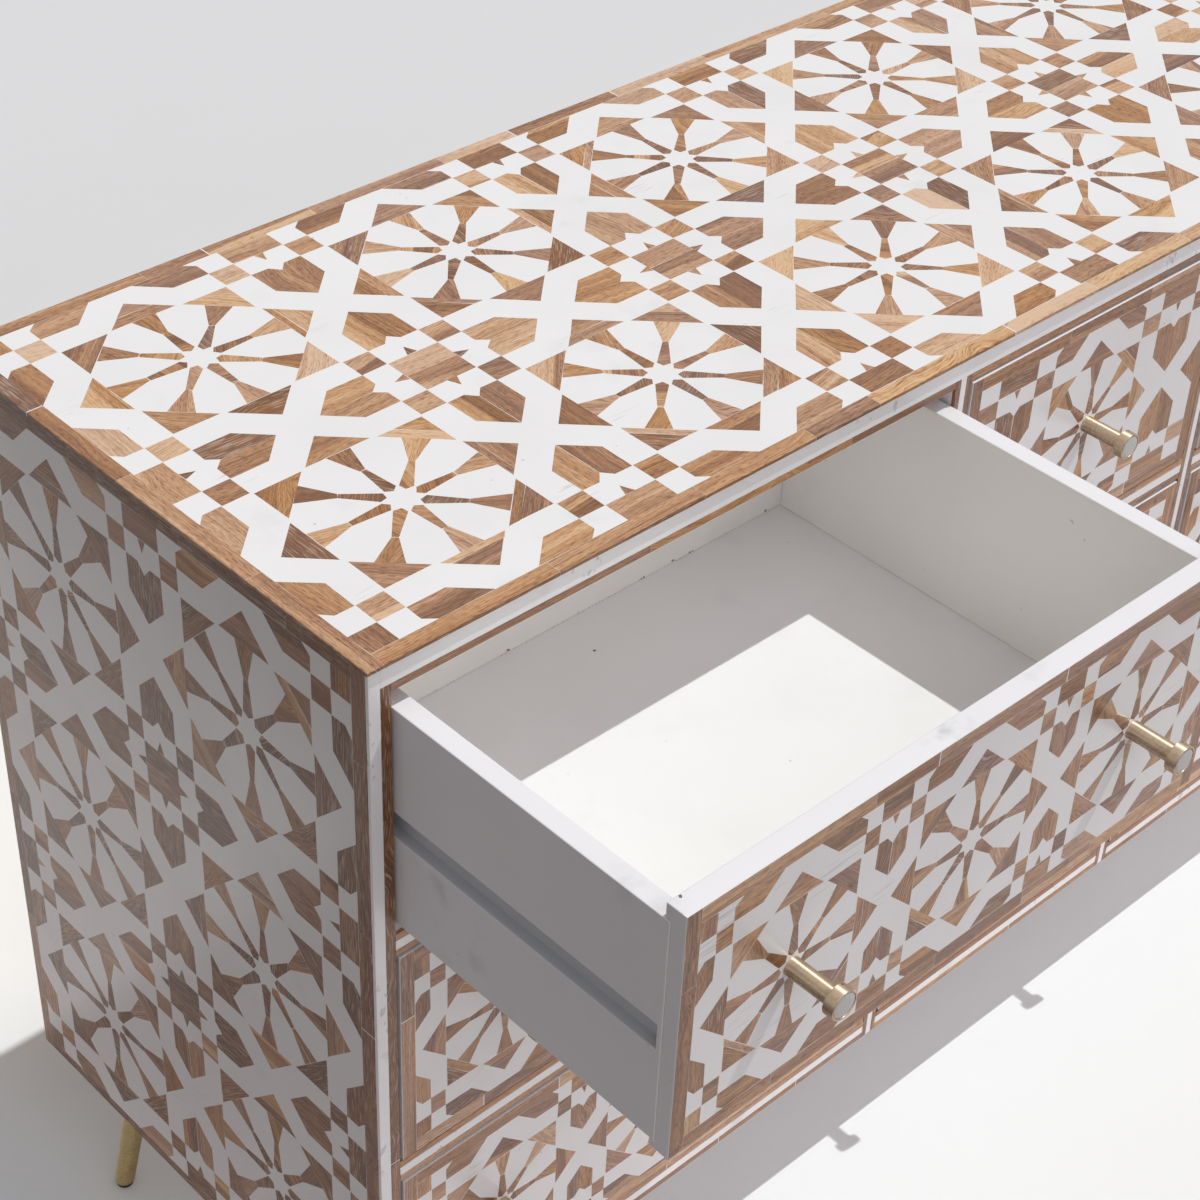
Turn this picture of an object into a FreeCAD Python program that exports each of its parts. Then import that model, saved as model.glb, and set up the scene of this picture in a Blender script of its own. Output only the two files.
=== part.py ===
"""Inlaid dresser: a marquetry-faced carcass on brass legs, with nine drawers on wooden runners.

Millimetres, +X to the right, +Y to the back, +Z up. The origin is on the floor, under the middle of the top.
The upper left drawer stands open, the others are closed.
"""
import FreeCAD, Part
import os
from FreeCAD import Vector

# Overall sizes
LENGTH = 1400.0
DEPTH = 460.0
HEIGHT = 850.0
LEG_HEIGHT = 160.0
TOP_OVERHANG = 2.0

# Boards and sheets
SHEET = 3.0
TOP_BOARD = 16.0
SIDE_BOARD = 14.0
BOTTOM_BOARD = 20.0
PARTITION = 16.0
RAIL_HEIGHT = 20.0
RAIL_DEPTH = 60.0
BACK_PANEL = 6.0
BACK_RABBET = 7.0
HOUSING = 5.0

# Edge bands and strips on the front
BAND_DEPTH = 3.0
SIDE_BAND = 9.0
TOP_STRIP = 6.0
TOP_STRIP_DEPTH = 20.0
PARTITION_LINE = 6.0
RAIL_LINE = 8.0
BOTTOM_LINE = 8.0

# Drawer layout
ROW_NAMES = ("top", "middle", "bottom")
COLUMN_NAMES = ("left", "centre", "right")
MIDDLE_COLUMN = 309.0
FRONT_GAP = 2.0
FRONT_PROUD = 1.0
OPEN_DISTANCE = 245.0

# Drawer construction
FRONT_CORE = 13.0
BOX_CLEARANCE = 1.5
BOX_BACK_CLEARANCE = 45.0
BOX_WALL = 15.0
BOX_BELOW_FRONT_TOP = 12.0
BOX_ABOVE_FRONT_FOOT = 7.0
BACK_INSET = 10.0
DADO = 4.0
BOTTOM_PANEL = 6.0
BOTTOM_RISE = 20.0

# Runners
GROOVE_RISE = 75.0
GROOVE_HEIGHT = 20.0
GROOVE_DEPTH = 8.0
RUNNER_PLAY = 0.3
RUNNER_TIP_PLAY = 1.0
RUNNER_SETBACK = 30.0
RUNNER_BACK_CLEARANCE = 66.0

# Knobs
FIELD_BORDER = 12.0
FRONT_TILES = ("left", "middle", "right")
STEM_DIAMETER = 13.0
STEM_LENGTH = 34.0
HEAD_DIAMETER = 21.5
HEAD_LENGTH = 8.0

# Legs
LEG_INSET_X = 48.0
LEG_INSET_Y = 74.0
LEG_SPLAY = 20.0
LEG_TOP_DIAMETER = 21.0
LEG_FOOT_DIAMETER = 17.0
PLATE_SIDE = 60.0
PLATE_THICKNESS = 3.0
PLATE_CORNER = 8.0
PAD_DIAMETER = 14.0
PAD_HEIGHT = 4.0

# Planes of the carcass
side_x = LENGTH / 2 - TOP_OVERHANG
board_x = side_x - SHEET
inner_x = board_x - SIDE_BOARD
front_y = TOP_OVERHANG - DEPTH / 2
edge_y = front_y + BAND_DEPTH
back_y = DEPTH / 2
back_panel_y = back_y - BACK_PANEL
under_z = LEG_HEIGHT
floor_z = LEG_HEIGHT + BOTTOM_BOARD
sheet_z = HEIGHT - SHEET
ceiling_z = sheet_z - TOP_BOARD
opening_top_z = ceiling_z - TOP_STRIP
rows = len(ROW_NAMES)
row_height = (opening_top_z - floor_z - (rows - 1) * RAIL_HEIGHT) / rows

# Column openings, left to right, as pairs of X limits
middle_x = MIDDLE_COLUMN / 2
columns = [
    (-inner_x, -middle_x - PARTITION),
    (-middle_x, middle_x),
    (middle_x + PARTITION, inner_x),
]


def block(x0, x1, y0, y1, z0, z1):
    """A box between two corners."""
    return Part.makeBox(x1 - x0, y1 - y0, z1 - z0, Vector(x0, y0, z0))


def mirrored(shape):
    """The same piece on the other side of the middle plane."""
    return shape.mirror(Vector(0, 0, 0), Vector(1, 0, 0))


def write(name, solids):
    """Write one sub-part, made of one or more separate solids."""
    shape = solids[0] if len(solids) == 1 else Part.makeCompound(solids)
    shape.exportStep("parts/" + name + ".step")


def row_limits(row):
    """Lower and upper Z of the drawer openings of a row, counted from the top."""
    top = opening_top_z - row * (row_height + RAIL_HEIGHT)
    return top - row_height, top


def rail_limits(row):
    """Lower and upper Z of the rail under a row."""
    top = row_limits(row)[0]
    return top - RAIL_HEIGHT, top


# Carcass boards

def top_board():
    board = block(-board_x, board_x, edge_y, back_y, ceiling_z, sheet_z)
    for x0, x1 in partition_limits():
        board = board.cut(block(x0, x1, edge_y, back_panel_y, ceiling_z, ceiling_z + HOUSING))
    return board


def top_sheet():
    return block(-LENGTH / 2, LENGTH / 2, -DEPTH / 2, back_y, sheet_z, HEIGHT)


def right_side_board():
    board = block(inner_x, board_x, edge_y, back_y, under_z, ceiling_z)
    rabbet = block(inner_x, inner_x + BACK_RABBET, back_panel_y, back_y, under_z, ceiling_z)
    housings = [block(inner_x, inner_x + HOUSING, edge_y, back_panel_y, under_z, floor_z)]
    for row in range(rows - 1):
        z0, z1 = rail_limits(row)
        housings.append(block(inner_x, inner_x + HOUSING, edge_y, edge_y + RAIL_DEPTH, z0, z1))
    return board.cut([rabbet] + housings)


def right_side_sheet():
    return block(board_x, side_x, edge_y, back_y, under_z, sheet_z)


def partition_limits():
    """Left and right X of each upright partition."""
    return [(columns[0][1], columns[1][0]), (columns[1][1], columns[2][0])]


def bottom_board():
    reach = inner_x + HOUSING
    board = block(-reach, reach, edge_y, back_panel_y, under_z, floor_z)
    for x0, x1 in partition_limits():
        board = board.cut(block(x0, x1, edge_y, back_panel_y, floor_z - HOUSING, floor_z))
    return board


def back_panel():
    reach = inner_x + BACK_RABBET
    return block(-reach, reach, back_panel_y, back_y, under_z, ceiling_z)


def partition(x0, x1):
    board = block(x0, x1, edge_y, back_panel_y, floor_z - HOUSING, ceiling_z + HOUSING)
    for row in range(rows - 1):
        z0, z1 = rail_limits(row)
        board = board.cut(block(x0, x0 + HOUSING, edge_y, edge_y + RAIL_DEPTH, z0, z1))
        board = board.cut(block(x1 - HOUSING, x1, edge_y, edge_y + RAIL_DEPTH, z0, z1))
    return board


def front_rails():
    rails = []
    for row in range(rows - 1):
        z0, z1 = rail_limits(row)
        for x0, x1 in columns:
            rails.append(block(x0 - HOUSING, x1 + HOUSING, edge_y, edge_y + RAIL_DEPTH, z0, z1))
    return rails


# Bands and strips on the front edges

def line_limits(low, high, line):
    """Split a board's edge into strip, middle line and strip."""
    margin = (high - low - line) / 2
    return (low, low + margin), (low + margin, high - margin), (high - margin, high)


def edge_bands_and_strips():
    bands = []
    strips = []
    for side in (-1, 1):
        near, far = sorted((side * side_x, side * (side_x - SIDE_BAND)))
        bands.append(block(near, far, front_y, edge_y, under_z, sheet_z))
        near, far = sorted((side * (side_x - SIDE_BAND), side * inner_x))
        strips.append(block(near, far, front_y, edge_y, under_z, ceiling_z))
    reach = side_x - SIDE_BAND
    bands.append(block(-reach, reach, front_y, edge_y, ceiling_z, sheet_z))
    for x0, x1 in partition_limits():
        left, middle, right = line_limits(x0, x1, PARTITION_LINE)
        bands.append(block(*middle, front_y, edge_y, under_z, ceiling_z))
        strips.append(block(*left, front_y, edge_y, under_z, ceiling_z))
        strips.append(block(*right, front_y, edge_y, under_z, ceiling_z))
    edges = [(*rail_limits(row), RAIL_LINE) for row in range(rows - 1)]
    edges.append((under_z, floor_z, BOTTOM_LINE))
    for x0, x1 in columns:
        strips.append(block(x0, x1, front_y, front_y + TOP_STRIP_DEPTH, opening_top_z, ceiling_z))
        for z0, z1, line in edges:
            lower, middle, upper = line_limits(z0, z1, line)
            bands.append(block(x0, x1, front_y, edge_y, *middle))
            strips.append(block(x0, x1, front_y, edge_y, *lower))
            strips.append(block(x0, x1, front_y, edge_y, *upper))
    return bands, strips


# Drawers

core_front_y = front_y - FRONT_PROUD + SHEET
core_back_y = core_front_y + FRONT_CORE
box_back_y = back_panel_y - BOX_BACK_CLEARANCE


def box_limits(row):
    """Lower and upper Z of a drawer's box."""
    z0, z1 = row_limits(row)
    return z0 + FRONT_GAP + BOX_ABOVE_FRONT_FOOT, z1 - FRONT_GAP - BOX_BELOW_FRONT_TOP


def bottom_limits(row):
    """Lower and upper Z of a drawer's bottom panel."""
    foot = box_limits(row)[0] + BOTTOM_RISE
    return foot, foot + BOTTOM_PANEL


def groove_limits(row):
    """Lower and upper Z of the runner groove in a drawer's sides."""
    foot = box_limits(row)[0] + GROOVE_RISE
    return foot, foot + GROOVE_HEIGHT


def drawer_front(row, column):
    """Front board, with stopped dados for the sides and a groove for the bottom."""
    x0, x1 = columns[column]
    z0, z1 = row_limits(row)
    low, high = box_limits(row)
    core = block(x0 + FRONT_GAP, x1 - FRONT_GAP, core_front_y, core_back_y, z0 + FRONT_GAP, z1 - FRONT_GAP)
    dado_y = core_back_y - DADO
    left = x0 + BOX_CLEARANCE
    right = x1 - BOX_CLEARANCE
    dados = [
        block(left, left + BOX_WALL, dado_y, core_back_y, low, high),
        block(right - BOX_WALL, right, dado_y, core_back_y, low, high),
        block(left + BOX_WALL, right - BOX_WALL, dado_y, core_back_y, *bottom_limits(row)),
    ]
    return core.cut(dados)


def drawer_face(row, column):
    x0, x1 = columns[column]
    z0, z1 = row_limits(row)
    y0 = core_front_y - SHEET
    return block(x0 + FRONT_GAP, x1 - FRONT_GAP, y0, core_front_y, z0 + FRONT_GAP, z1 - FRONT_GAP)


def drawer_left_side(row, column):
    """Side board with a runner groove outside, and a bottom groove and a dado for the back inside."""
    x0 = columns[column][0] + BOX_CLEARANCE
    x1 = x0 + BOX_WALL
    low, high = box_limits(row)
    dado_x = x1 - DADO
    back_y0 = box_back_y - BACK_INSET - BOX_WALL
    side = block(x0, x1, core_back_y - DADO, box_back_y, low, high)
    return side.cut([
        block(x0, x0 + GROOVE_DEPTH, core_back_y, box_back_y, *groove_limits(row)),
        block(dado_x, x1, core_back_y - DADO, box_back_y, *bottom_limits(row)),
        block(dado_x, x1, back_y0, back_y0 + BOX_WALL, bottom_limits(row)[1], high),
    ])


def across(shape, column):
    """The piece turned over to the right side of the same drawer."""
    x0, x1 = columns[column]
    return shape.mirror(Vector((x0 + x1) / 2, 0, 0), Vector(1, 0, 0))


def drawer_back(row, column):
    x0, x1 = columns[column]
    reach = BOX_CLEARANCE + BOX_WALL - DADO
    y1 = box_back_y - BACK_INSET
    return block(x0 + reach, x1 - reach, y1 - BOX_WALL, y1, bottom_limits(row)[1], box_limits(row)[1])


def drawer_bottom(row, column):
    x0, x1 = columns[column]
    reach = BOX_CLEARANCE + BOX_WALL - DADO
    return block(x0 + reach, x1 - reach, core_back_y - DADO, box_back_y, *bottom_limits(row))


def knob(x, z):
    """Turned brass knob: a straight stem and a wider head with a flat end."""
    seat = core_front_y - SHEET
    neck = seat - STEM_LENGTH
    end = neck - HEAD_LENGTH
    stem_r = STEM_DIAMETER / 2
    head_r = HEAD_DIAMETER / 2
    outline = [(0, seat), (stem_r, seat), (stem_r, neck), (head_r, neck), (head_r, end), (0, end)]
    points = [Vector(x + r, y, z) for r, y in outline]
    face = Part.Face(Part.makePolygon(points + points[:1]))
    return face.revolve(Vector(x, 0, z), Vector(0, 1, 0), 360)


def drawer_knobs(row, column):
    """Knobs at the middles of the outer tiles of a wide front, or of a narrow front."""
    x0, x1 = columns[column]
    z0, z1 = row_limits(row)
    middle = (x0 + x1) / 2
    pitch = (x1 - x0 - 2 * FRONT_GAP - 2 * FIELD_BORDER) / len(FRONT_TILES)
    places = [middle] if column == 1 else [middle - pitch, middle + pitch]
    return [knob(x, (z0 + z1) / 2) for x in places]


def runners():
    """Wooden runners that stand out from the sides and partitions into the drawers' grooves."""
    strips = []
    reach = BOX_CLEARANCE + GROOVE_DEPTH - RUNNER_TIP_PLAY
    y0 = front_y + RUNNER_SETBACK
    y1 = back_panel_y - RUNNER_BACK_CLEARANCE
    for row in range(rows):
        low, high = groove_limits(row)
        z0 = low + RUNNER_PLAY
        z1 = high - RUNNER_PLAY
        for x0, x1 in columns:
            strips.append(block(x0, x0 + reach, y0, y1, z0, z1))
            strips.append(block(x1 - reach, x1, y0, y1, z0, z1))
    return strips


# Legs

def leg(x_sign, y_sign):
    """Tapered tube that leans out to its corner, cut flat at the plate and at the pad."""
    z0 = PAD_HEIGHT
    z1 = LEG_HEIGHT - PLATE_THICKNESS
    top = leg_place(x_sign, y_sign)
    foot = top + Vector(x_sign * LEG_SPLAY, y_sign * LEG_SPLAY, 0)
    top.z = z1
    foot.z = z0
    axis = (foot - top).normalize()
    spare = LEG_TOP_DIAMETER
    taper = (LEG_TOP_DIAMETER - LEG_FOOT_DIAMETER) / 2 / (foot - top).Length
    start = top - axis * spare
    length = (foot - top).Length + 2 * spare
    start_r = LEG_TOP_DIAMETER / 2 + taper * spare
    end_r = LEG_FOOT_DIAMETER / 2 - taper * spare
    cone = Part.makeCone(start_r, end_r, length, start, axis)
    around = LEG_TOP_DIAMETER + LEG_SPLAY
    x0, x1 = sorted((top.x, foot.x))
    y0, y1 = sorted((top.y, foot.y))
    return cone.common(block(x0 - around, x1 + around, y0 - around, y1 + around, z0, z1))


def leg_place(x_sign, y_sign):
    """Middle of a leg's fixing plate, on the underside of the bottom board."""
    middle_y = (front_y + back_y) / 2
    half_depth = (back_y - front_y) / 2
    return Vector(x_sign * (side_x - LEG_INSET_X), middle_y + y_sign * (half_depth - LEG_INSET_Y), LEG_HEIGHT)


def leg_plate(x_sign, y_sign):
    place = leg_place(x_sign, y_sign)
    half = PLATE_SIDE / 2
    plate = block(place.x - half, place.x + half, place.y - half, place.y + half,
                  LEG_HEIGHT - PLATE_THICKNESS, LEG_HEIGHT)
    corners = [e for e in plate.Edges if abs(e.Vertexes[0].Z - e.Vertexes[1].Z) > PLATE_THICKNESS / 2]
    return plate.makeFillet(PLATE_CORNER, corners)


def foot_pad(x_sign, y_sign):
    place = leg_place(x_sign, y_sign) + Vector(x_sign * LEG_SPLAY, y_sign * LEG_SPLAY, -LEG_HEIGHT)
    return Part.makeCylinder(PAD_DIAMETER / 2, PAD_HEIGHT, place)


# Write every sub-part
os.makedirs("parts", exist_ok=True)
bands, strips = edge_bands_and_strips()
corners = [(x_sign, y_sign) for x_sign in (-1, 1) for y_sign in (-1, 1)]
write("top_board", [top_board()])
write("top_marquetry", [top_sheet()])
write("side_boards", [mirrored(right_side_board()), right_side_board()])
write("side_marquetry", [mirrored(right_side_sheet()), right_side_sheet()])
write("bottom_board", [bottom_board()])
write("back_panel", [back_panel()])
write("partitions", [partition(x0, x1) for x0, x1 in partition_limits()])
write("front_rails", front_rails())
write("runners", runners())
write("white_edge_bands", bands)
write("wood_edge_strips", strips)
write("legs", [leg(*corner) for corner in corners])
write("leg_plates", [leg_plate(*corner) for corner in corners])
write("foot_pads", [foot_pad(*corner) for corner in corners])

for row in range(rows):
    for column in range(len(COLUMN_NAMES)):
        name = "drawer_" + ROW_NAMES[row] + "_" + COLUMN_NAMES[column]
        left_side = drawer_left_side(row, column)
        pieces = {
            "front": [drawer_front(row, column)],
            "face": [drawer_face(row, column)],
            "box": [left_side, across(left_side, column), drawer_back(row, column)],
            "bottom": [drawer_bottom(row, column)],
            "knobs": drawer_knobs(row, column),
        }
        is_open = row == 0 and column == 0
        for piece, solids in pieces.items():
            if is_open:
                for solid in solids:
                    solid.translate(Vector(0, -OPEN_DISTANCE, 0))
            write(name + "_" + piece, solids)
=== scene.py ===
import math
import random
from collections import namedtuple

import bmesh
import bpy
from bpy.props import FloatProperty, FloatVectorProperty, PointerProperty
from mathutils import Matrix, Vector
from mathutils.geometry import delaunay_2d_cdt


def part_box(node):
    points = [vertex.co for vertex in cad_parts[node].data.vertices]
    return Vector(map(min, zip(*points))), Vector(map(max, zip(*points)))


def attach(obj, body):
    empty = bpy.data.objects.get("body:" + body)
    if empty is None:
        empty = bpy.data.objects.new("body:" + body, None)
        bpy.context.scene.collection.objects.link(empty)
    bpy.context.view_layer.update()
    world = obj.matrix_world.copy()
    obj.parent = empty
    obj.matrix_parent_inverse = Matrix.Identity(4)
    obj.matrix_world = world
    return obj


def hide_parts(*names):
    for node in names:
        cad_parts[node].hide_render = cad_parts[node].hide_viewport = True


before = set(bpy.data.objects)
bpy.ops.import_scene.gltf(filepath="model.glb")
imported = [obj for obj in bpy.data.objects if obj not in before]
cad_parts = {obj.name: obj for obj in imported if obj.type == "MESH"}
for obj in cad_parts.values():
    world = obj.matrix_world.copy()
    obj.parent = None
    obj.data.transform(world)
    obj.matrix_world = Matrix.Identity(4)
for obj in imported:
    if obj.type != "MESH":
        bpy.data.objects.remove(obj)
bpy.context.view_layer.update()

bl_info = {
    "name": "Inlaid dresser",
    "version": (1, 0, 0),
    "blender": (4, 5, 0),
    "location": "3D View > Sidebar > Dresser",
    "description": "Dresses the frame of a nine-drawer dresser in star marquetry, white paint and brass",
    "category": "Object",
}

MM = 0.001
ROWS = ("top", "middle", "bottom")
COLUMNS = ("left", "centre", "right")
DRAWERS = [row + "_" + column for row in ROWS for column in COLUMNS]
OPEN_DRAWER = "top_left"

# Seeds of the random draws, with one more step for each drawer front
TOP_SEED = 11
SIDE_SEEDS = {"left": 23, "right": 37}
FRONT_SEED = 101
FRONT_SEED_STEP = 7
STRIP_SEED = 5
PIN_SEED = 3

# The eight-rayed rosette, as shares of the half-width of its square
SPOKE_TIP = 0.150
SPOKE_SHOULDER = 0.203
SHOULDER_HALF = 0.0705
SPOKE_NECK = 0.61
NECK_HALF = 0.0341
FOOT_HALF = 0.144
POINT_HALF = 0.381
POINT_TIP = 1.381
PIP_HALF = 0.10
PIP_DEPTH = 0.115
NICK_HALF = 0.06
NICK_DEPTH = 0.157

# Where a white strap ends and a heart begins: shares of the rosette's square across and up, added up
STRAP = 1.88
NARROW_STRAP = 1.933

# Shares of the star points sawn in two, of the hearts left whole, and of the pieces with sapwood
SPLIT_POINTS = 0.35
WHOLE_HEARTS = 0.45
SAPWOOD_PIECES = 0.35

# The top's panel: millimetres, tiles across and up, the rosette's share of a tile, width of spokes
TOP_BORDER = 12.6
TOP_EDGE = 0.5
TOP_TILES = (6, 2)
TOP_STAR = 0.614
TOP_SPOKE = 1.0

# The sides' panels, whose wood is darker by a share of the tone range
SIDE_FRONT_BORDER = 13.5
SIDE_BACK_BORDER = 11.5
SIDE_LOWER_BORDER = 10.5
SIDE_UPPER_BORDER = 13.5
SIDE_EDGE = 0.4
SIDE_TILES = (2, 3)
SIDE_STAR = 0.638
SIDE_SPOKE = 1.1
SIDE_DARKER = 0.27

# The drawer fronts' panels, with tones drawn towards the middle one
FRONT_BORDER = 12.0
FRONT_EDGE = 0.4
FRONT_TILES = (3, 1)
FRONT_STAR_HALF = 54.0
FRONT_SPOKE = 1.18
FRONT_DARKER = 0.10
FRONT_TONE_SPREAD = 0.65

# Lengths of border pieces and the lines of filler between them, in millimetres
BORDER_LENGTHS = (55, 150)
SHORTEST_BORDER = 45
BORDER_JOINTS = (0.15, 0.15, 0.9)

# Wooden strips on the front edges, in metres
STRIP_LENGTHS = (0.09, 0.34)
SHORTEST_STRIP = 0.06
STRIP_JOINTS = (0.0, 0.8 * MM)
STRIP_EASE = 0.35 * MM
JOINT_EASE = 0.1 * MM

# Wood tones from dark heartwood to honey sapwood, as ranges of the grain's tone
TONES = {
    "darkest": (0.00, 0.08),
    "dark": (0.08, 0.24),
    "brown": (0.26, 0.44),
    "tan": (0.46, 0.64),
    "honey": (0.68, 0.92),
}
STAR_POINTS = ("dark", "dark", "brown", "brown", "brown", "tan", "tan", "honey")
INNER_SPOKES = ("dark", "dark", "brown", "brown", "tan")
OUTER_SPOKES = ("brown", "tan", "tan", "tan", "honey")
HEARTS = ("dark", "brown", "brown", "tan", "tan", "honey")
SQUARES = ("brown", "tan", "tan", "tan", "honey")
BORDER = ("brown", "tan", "tan", "tan", "honey", "honey")
SIDE_BORDER = ("dark", "brown", "brown", "tan", "tan")
SHADED_BORDER = ("darkest", "darkest", "dark")
UPRIGHT_STRIPS = ("darkest", "darkest", "dark")

# The tone that others are drawn towards, and the least that a darker panel may have
MIDDLE_TONE = 0.42
LOWEST_TONE = -0.12

# How much darker the wood is drawn on a sheet's upright edge than on its face
EDGE_DARKENING = 0.45

# Where the floor's colour changes, in metres along X or Y
# Painted light: between these lines the floor is drawn white, to make up for the soft light that the dresser
# blocks behind it
PAINTED_LIGHT_FROM = (0.30, 0.48)
PAINTED_LIGHT_TO = (1.3, 0.8)
# Painted shade: left of these the floor is drawn cooler, for the bluer shadow beside the dresser
SHADE_TINT_FROM = (-0.60, -0.80)
# Painted shade: beyond these the floor greys towards the backdrop, as light falls off far behind
PAINTED_FALLOFF_FROM = (0.6, 1.6)
# Painted shade: past these the floor is dark to bounce light and reflections only
DIM_BOUNCE_LEFT = (-1.07, -1.17)
DIM_BOUNCE_SLANT = 0.15
DIM_BOUNCE_FRONT = (-1.25, -1.5)
FLOOR_REACH = 30.0

# A sawn piece of wood, what white filler counts as, and a panel made up of both
Piece = namedtuple("Piece", "outline grain tone sap seed")
FILLER = Piece(None, 0, 0, 0, 0)
Panel = namedtuple(
    "Panel", "name body node corner across up size thickness edge borders tiles star step strap spoke")


def choose_tone(rng, mix):
    return rng.uniform(*TONES[rng.choice(mix)])


def new_piece(rng, outline, grain, mix, sap_share=SAPWOOD_PIECES):
    """A sawn piece of wood: its outline in the panel's plane, in millimetres, and how its grain lies."""
    sap = rng.uniform(0.4, 1.0) if rng.random() < sap_share else 0.0
    return Piece(outline, grain, choose_tone(rng, mix), sap, rng.random())


# Outlines in the plane of a panel

def clip_side(outline, axis, limit, keep_above):
    """The part of an outline on one side of a line across X or Y."""
    inside = []
    for before, here in zip(outline[-1:] + outline[:-1], outline):
        was = (before[axis] >= limit) == keep_above or before[axis] == limit
        now = (here[axis] >= limit) == keep_above or here[axis] == limit
        if was != now:
            share = (limit - before[axis]) / (here[axis] - before[axis])
            inside.append(before.lerp(here, share))
        if now:
            inside.append(here)
    return inside


def clip_to(outline, low, high):
    """The part of an outline inside a box."""
    for axis in (0, 1):
        if outline:
            outline = clip_side(outline, axis, low[axis], True)
        if outline:
            outline = clip_side(outline, axis, high[axis], False)
    return outline


def area_of(outline):
    pairs = zip(outline, outline[1:] + outline[:1])
    return sum(a.x * b.y - b.x * a.y for a, b in pairs) / 2


def shrunk(outline, gap):
    """The outline, counter-clockwise, with every side moved in by a gap for the line of filler round it."""
    if area_of(outline) < 0:
        outline = outline[::-1]
    count = len(outline)
    normals = []
    for i in range(count):
        side = (outline[(i + 1) % count] - outline[i]).normalized()
        normals.append(Vector((-side.y, side.x)))
    moved = []
    for i in range(count):
        before, after = normals[i - 1], normals[i]
        moved.append(outline[i] + (before + after) * gap / max(0.3, 1 + before.dot(after)))
    return moved


def hand_cut(rng, outline, settings):
    """A sawn outline: a little smaller than its place, and not quite true at the corners."""
    wander = settings.saw_wander / MM
    gap = settings.joint_gap / MM * rng.uniform(0.2, 1.0)
    cut = shrunk(outline, gap)
    return [p + Vector((rng.uniform(-wander, wander), rng.uniform(-wander, wander))) for p in cut]


def box_outline(x0, y0, x1, y1):
    return [Vector((x0, y0)), Vector((x1, y0)), Vector((x1, y1)), Vector((x0, y1))]


# Pieces of the star pattern

def rosette_pieces(rng, centre, star, spoke):
    """Eight spokes, each of an inner and an outer piece, and the eight points of the star round them."""
    pieces = []
    shoulder, neck = SHOULDER_HALF * spoke, NECK_HALF * spoke
    for ray in range(8):
        angle = ray * math.pi / 4
        along, over = math.cos(angle), math.sin(angle)

        def at(height, half):
            x = height * along - half * over
            y = height * over + half * along
            return centre + Vector((x * star.x, y * star.y))

        inner = [at(SPOKE_TIP, 0), at(SPOKE_SHOULDER, shoulder), at(SPOKE_NECK, neck),
                 at(SPOKE_NECK, -neck), at(SPOKE_SHOULDER, -shoulder)]
        outer = [at(SPOKE_NECK, neck), at(1, FOOT_HALF), at(1, -FOOT_HALF), at(SPOKE_NECK, -neck)]
        pieces.append(new_piece(rng, inner, angle + rng.uniform(0.5, 1.9), INNER_SPOKES))
        pieces.append(new_piece(rng, outer, angle + rng.uniform(-0.5, 0.5), OUTER_SPOKES))
        base_angle = angle + math.pi / 2 + rng.uniform(-0.06, 0.06)
        if rng.random() < SPLIT_POINTS:
            split = rng.uniform(0.2, 0.45)
            level = 1 + split * (POINT_TIP - 1)
            half = POINT_HALF * (1 - split)
            strip = [at(1, POINT_HALF), at(level, half), at(level, -half), at(1, -POINT_HALF)]
            tip = [at(level, half), at(POINT_TIP, 0), at(level, -half)]
            pieces.append(new_piece(rng, strip, base_angle, OUTER_SPOKES, 0.1))
            pieces.append(new_piece(rng, tip, base_angle, STAR_POINTS, 0.1))
        else:
            point = [at(1, POINT_HALF), at(POINT_TIP, 0), at(1, -POINT_HALF)]
            pieces.append(new_piece(rng, point, base_angle, STAR_POINTS))
    return pieces


def heart_pieces(rng, middle, upright, star, step, strap, sides):
    """The two hearts on a line between tiles, pointing at its middle; sides says which halves are there."""
    if upright:
        width, reach, other = step.x, star.y, star.x
        half_tile = star.x + 2 * step.x
    else:
        width, reach, other = step.y, star.x, star.y
        half_tile = star.y + 2 * step.y
    apex = reach * (strap - half_tile / other)
    shoulder = reach * (strap - (half_tile - width) / other)
    pip = PIP_HALF * other
    notch = reach - PIP_DEPTH * reach
    half = [(0, apex), (width, shoulder), (width, reach), (pip, reach), (0, notch)]
    pieces = []
    for end in (-1, 1):
        grain = (math.pi / 2 if upright else 0) + rng.uniform(-0.07, 0.07)
        groups = [[side] for side in sides]
        if len(sides) == 2 and rng.random() < WHOLE_HEARTS:
            groups = [list(sides)]
        for group in groups:
            local = [(group[0] * p, q) for p, q in half]
            if len(group) == 2:
                local += [(group[1] * p, q) for p, q in reversed(half[1:-1])]
            if upright:
                outline = [middle + Vector((p, end * q)) for p, q in local]
            else:
                outline = [middle + Vector((end * q, p)) for p, q in local]
            pieces.append(new_piece(rng, outline, grain, HEARTS))
    return pieces


def corner_pieces(rng, corner, star, step, inside):
    """The large square where four tiles meet, whole or cut at the field's edge, and its nicks."""
    left, right, below, above = inside
    x0 = corner.x - step.x * left
    x1 = corner.x + step.x * right
    y0 = corner.y - step.y * below
    y1 = corner.y + step.y * above
    mix = SQUARES + HEARTS
    pieces = []
    if left and right and below and above:
        for lower, upper in ((y0, corner.y), (corner.y, y1)):
            pieces.append(new_piece(rng, box_outline(x0, lower, x1, upper), rng.uniform(-0.1, 0.1), mix))
    else:
        grain = 0 if left and right else math.pi / 2
        pieces.append(new_piece(rng, box_outline(x0, y0, x1, y1), grain, mix))
    for dx, dy in ((-1, 0), (1, 0), (0, -1), (0, 1)):
        if dx and not (below and above and (left if dx < 0 else right)):
            continue
        if dy and not (left and right and (below if dy < 0 else above)):
            continue
        foot = corner + Vector((dx * step.x, dy * step.y))
        tip = foot + Vector((dx * star.x, dy * star.y)) * NICK_DEPTH
        wide = Vector((dy * star.x, dx * star.y)) * NICK_HALF
        pieces.append(new_piece(rng, [foot - wide, tip, foot + wide], math.atan2(dy, dx), STAR_POINTS, 0))
    return pieces


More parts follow.
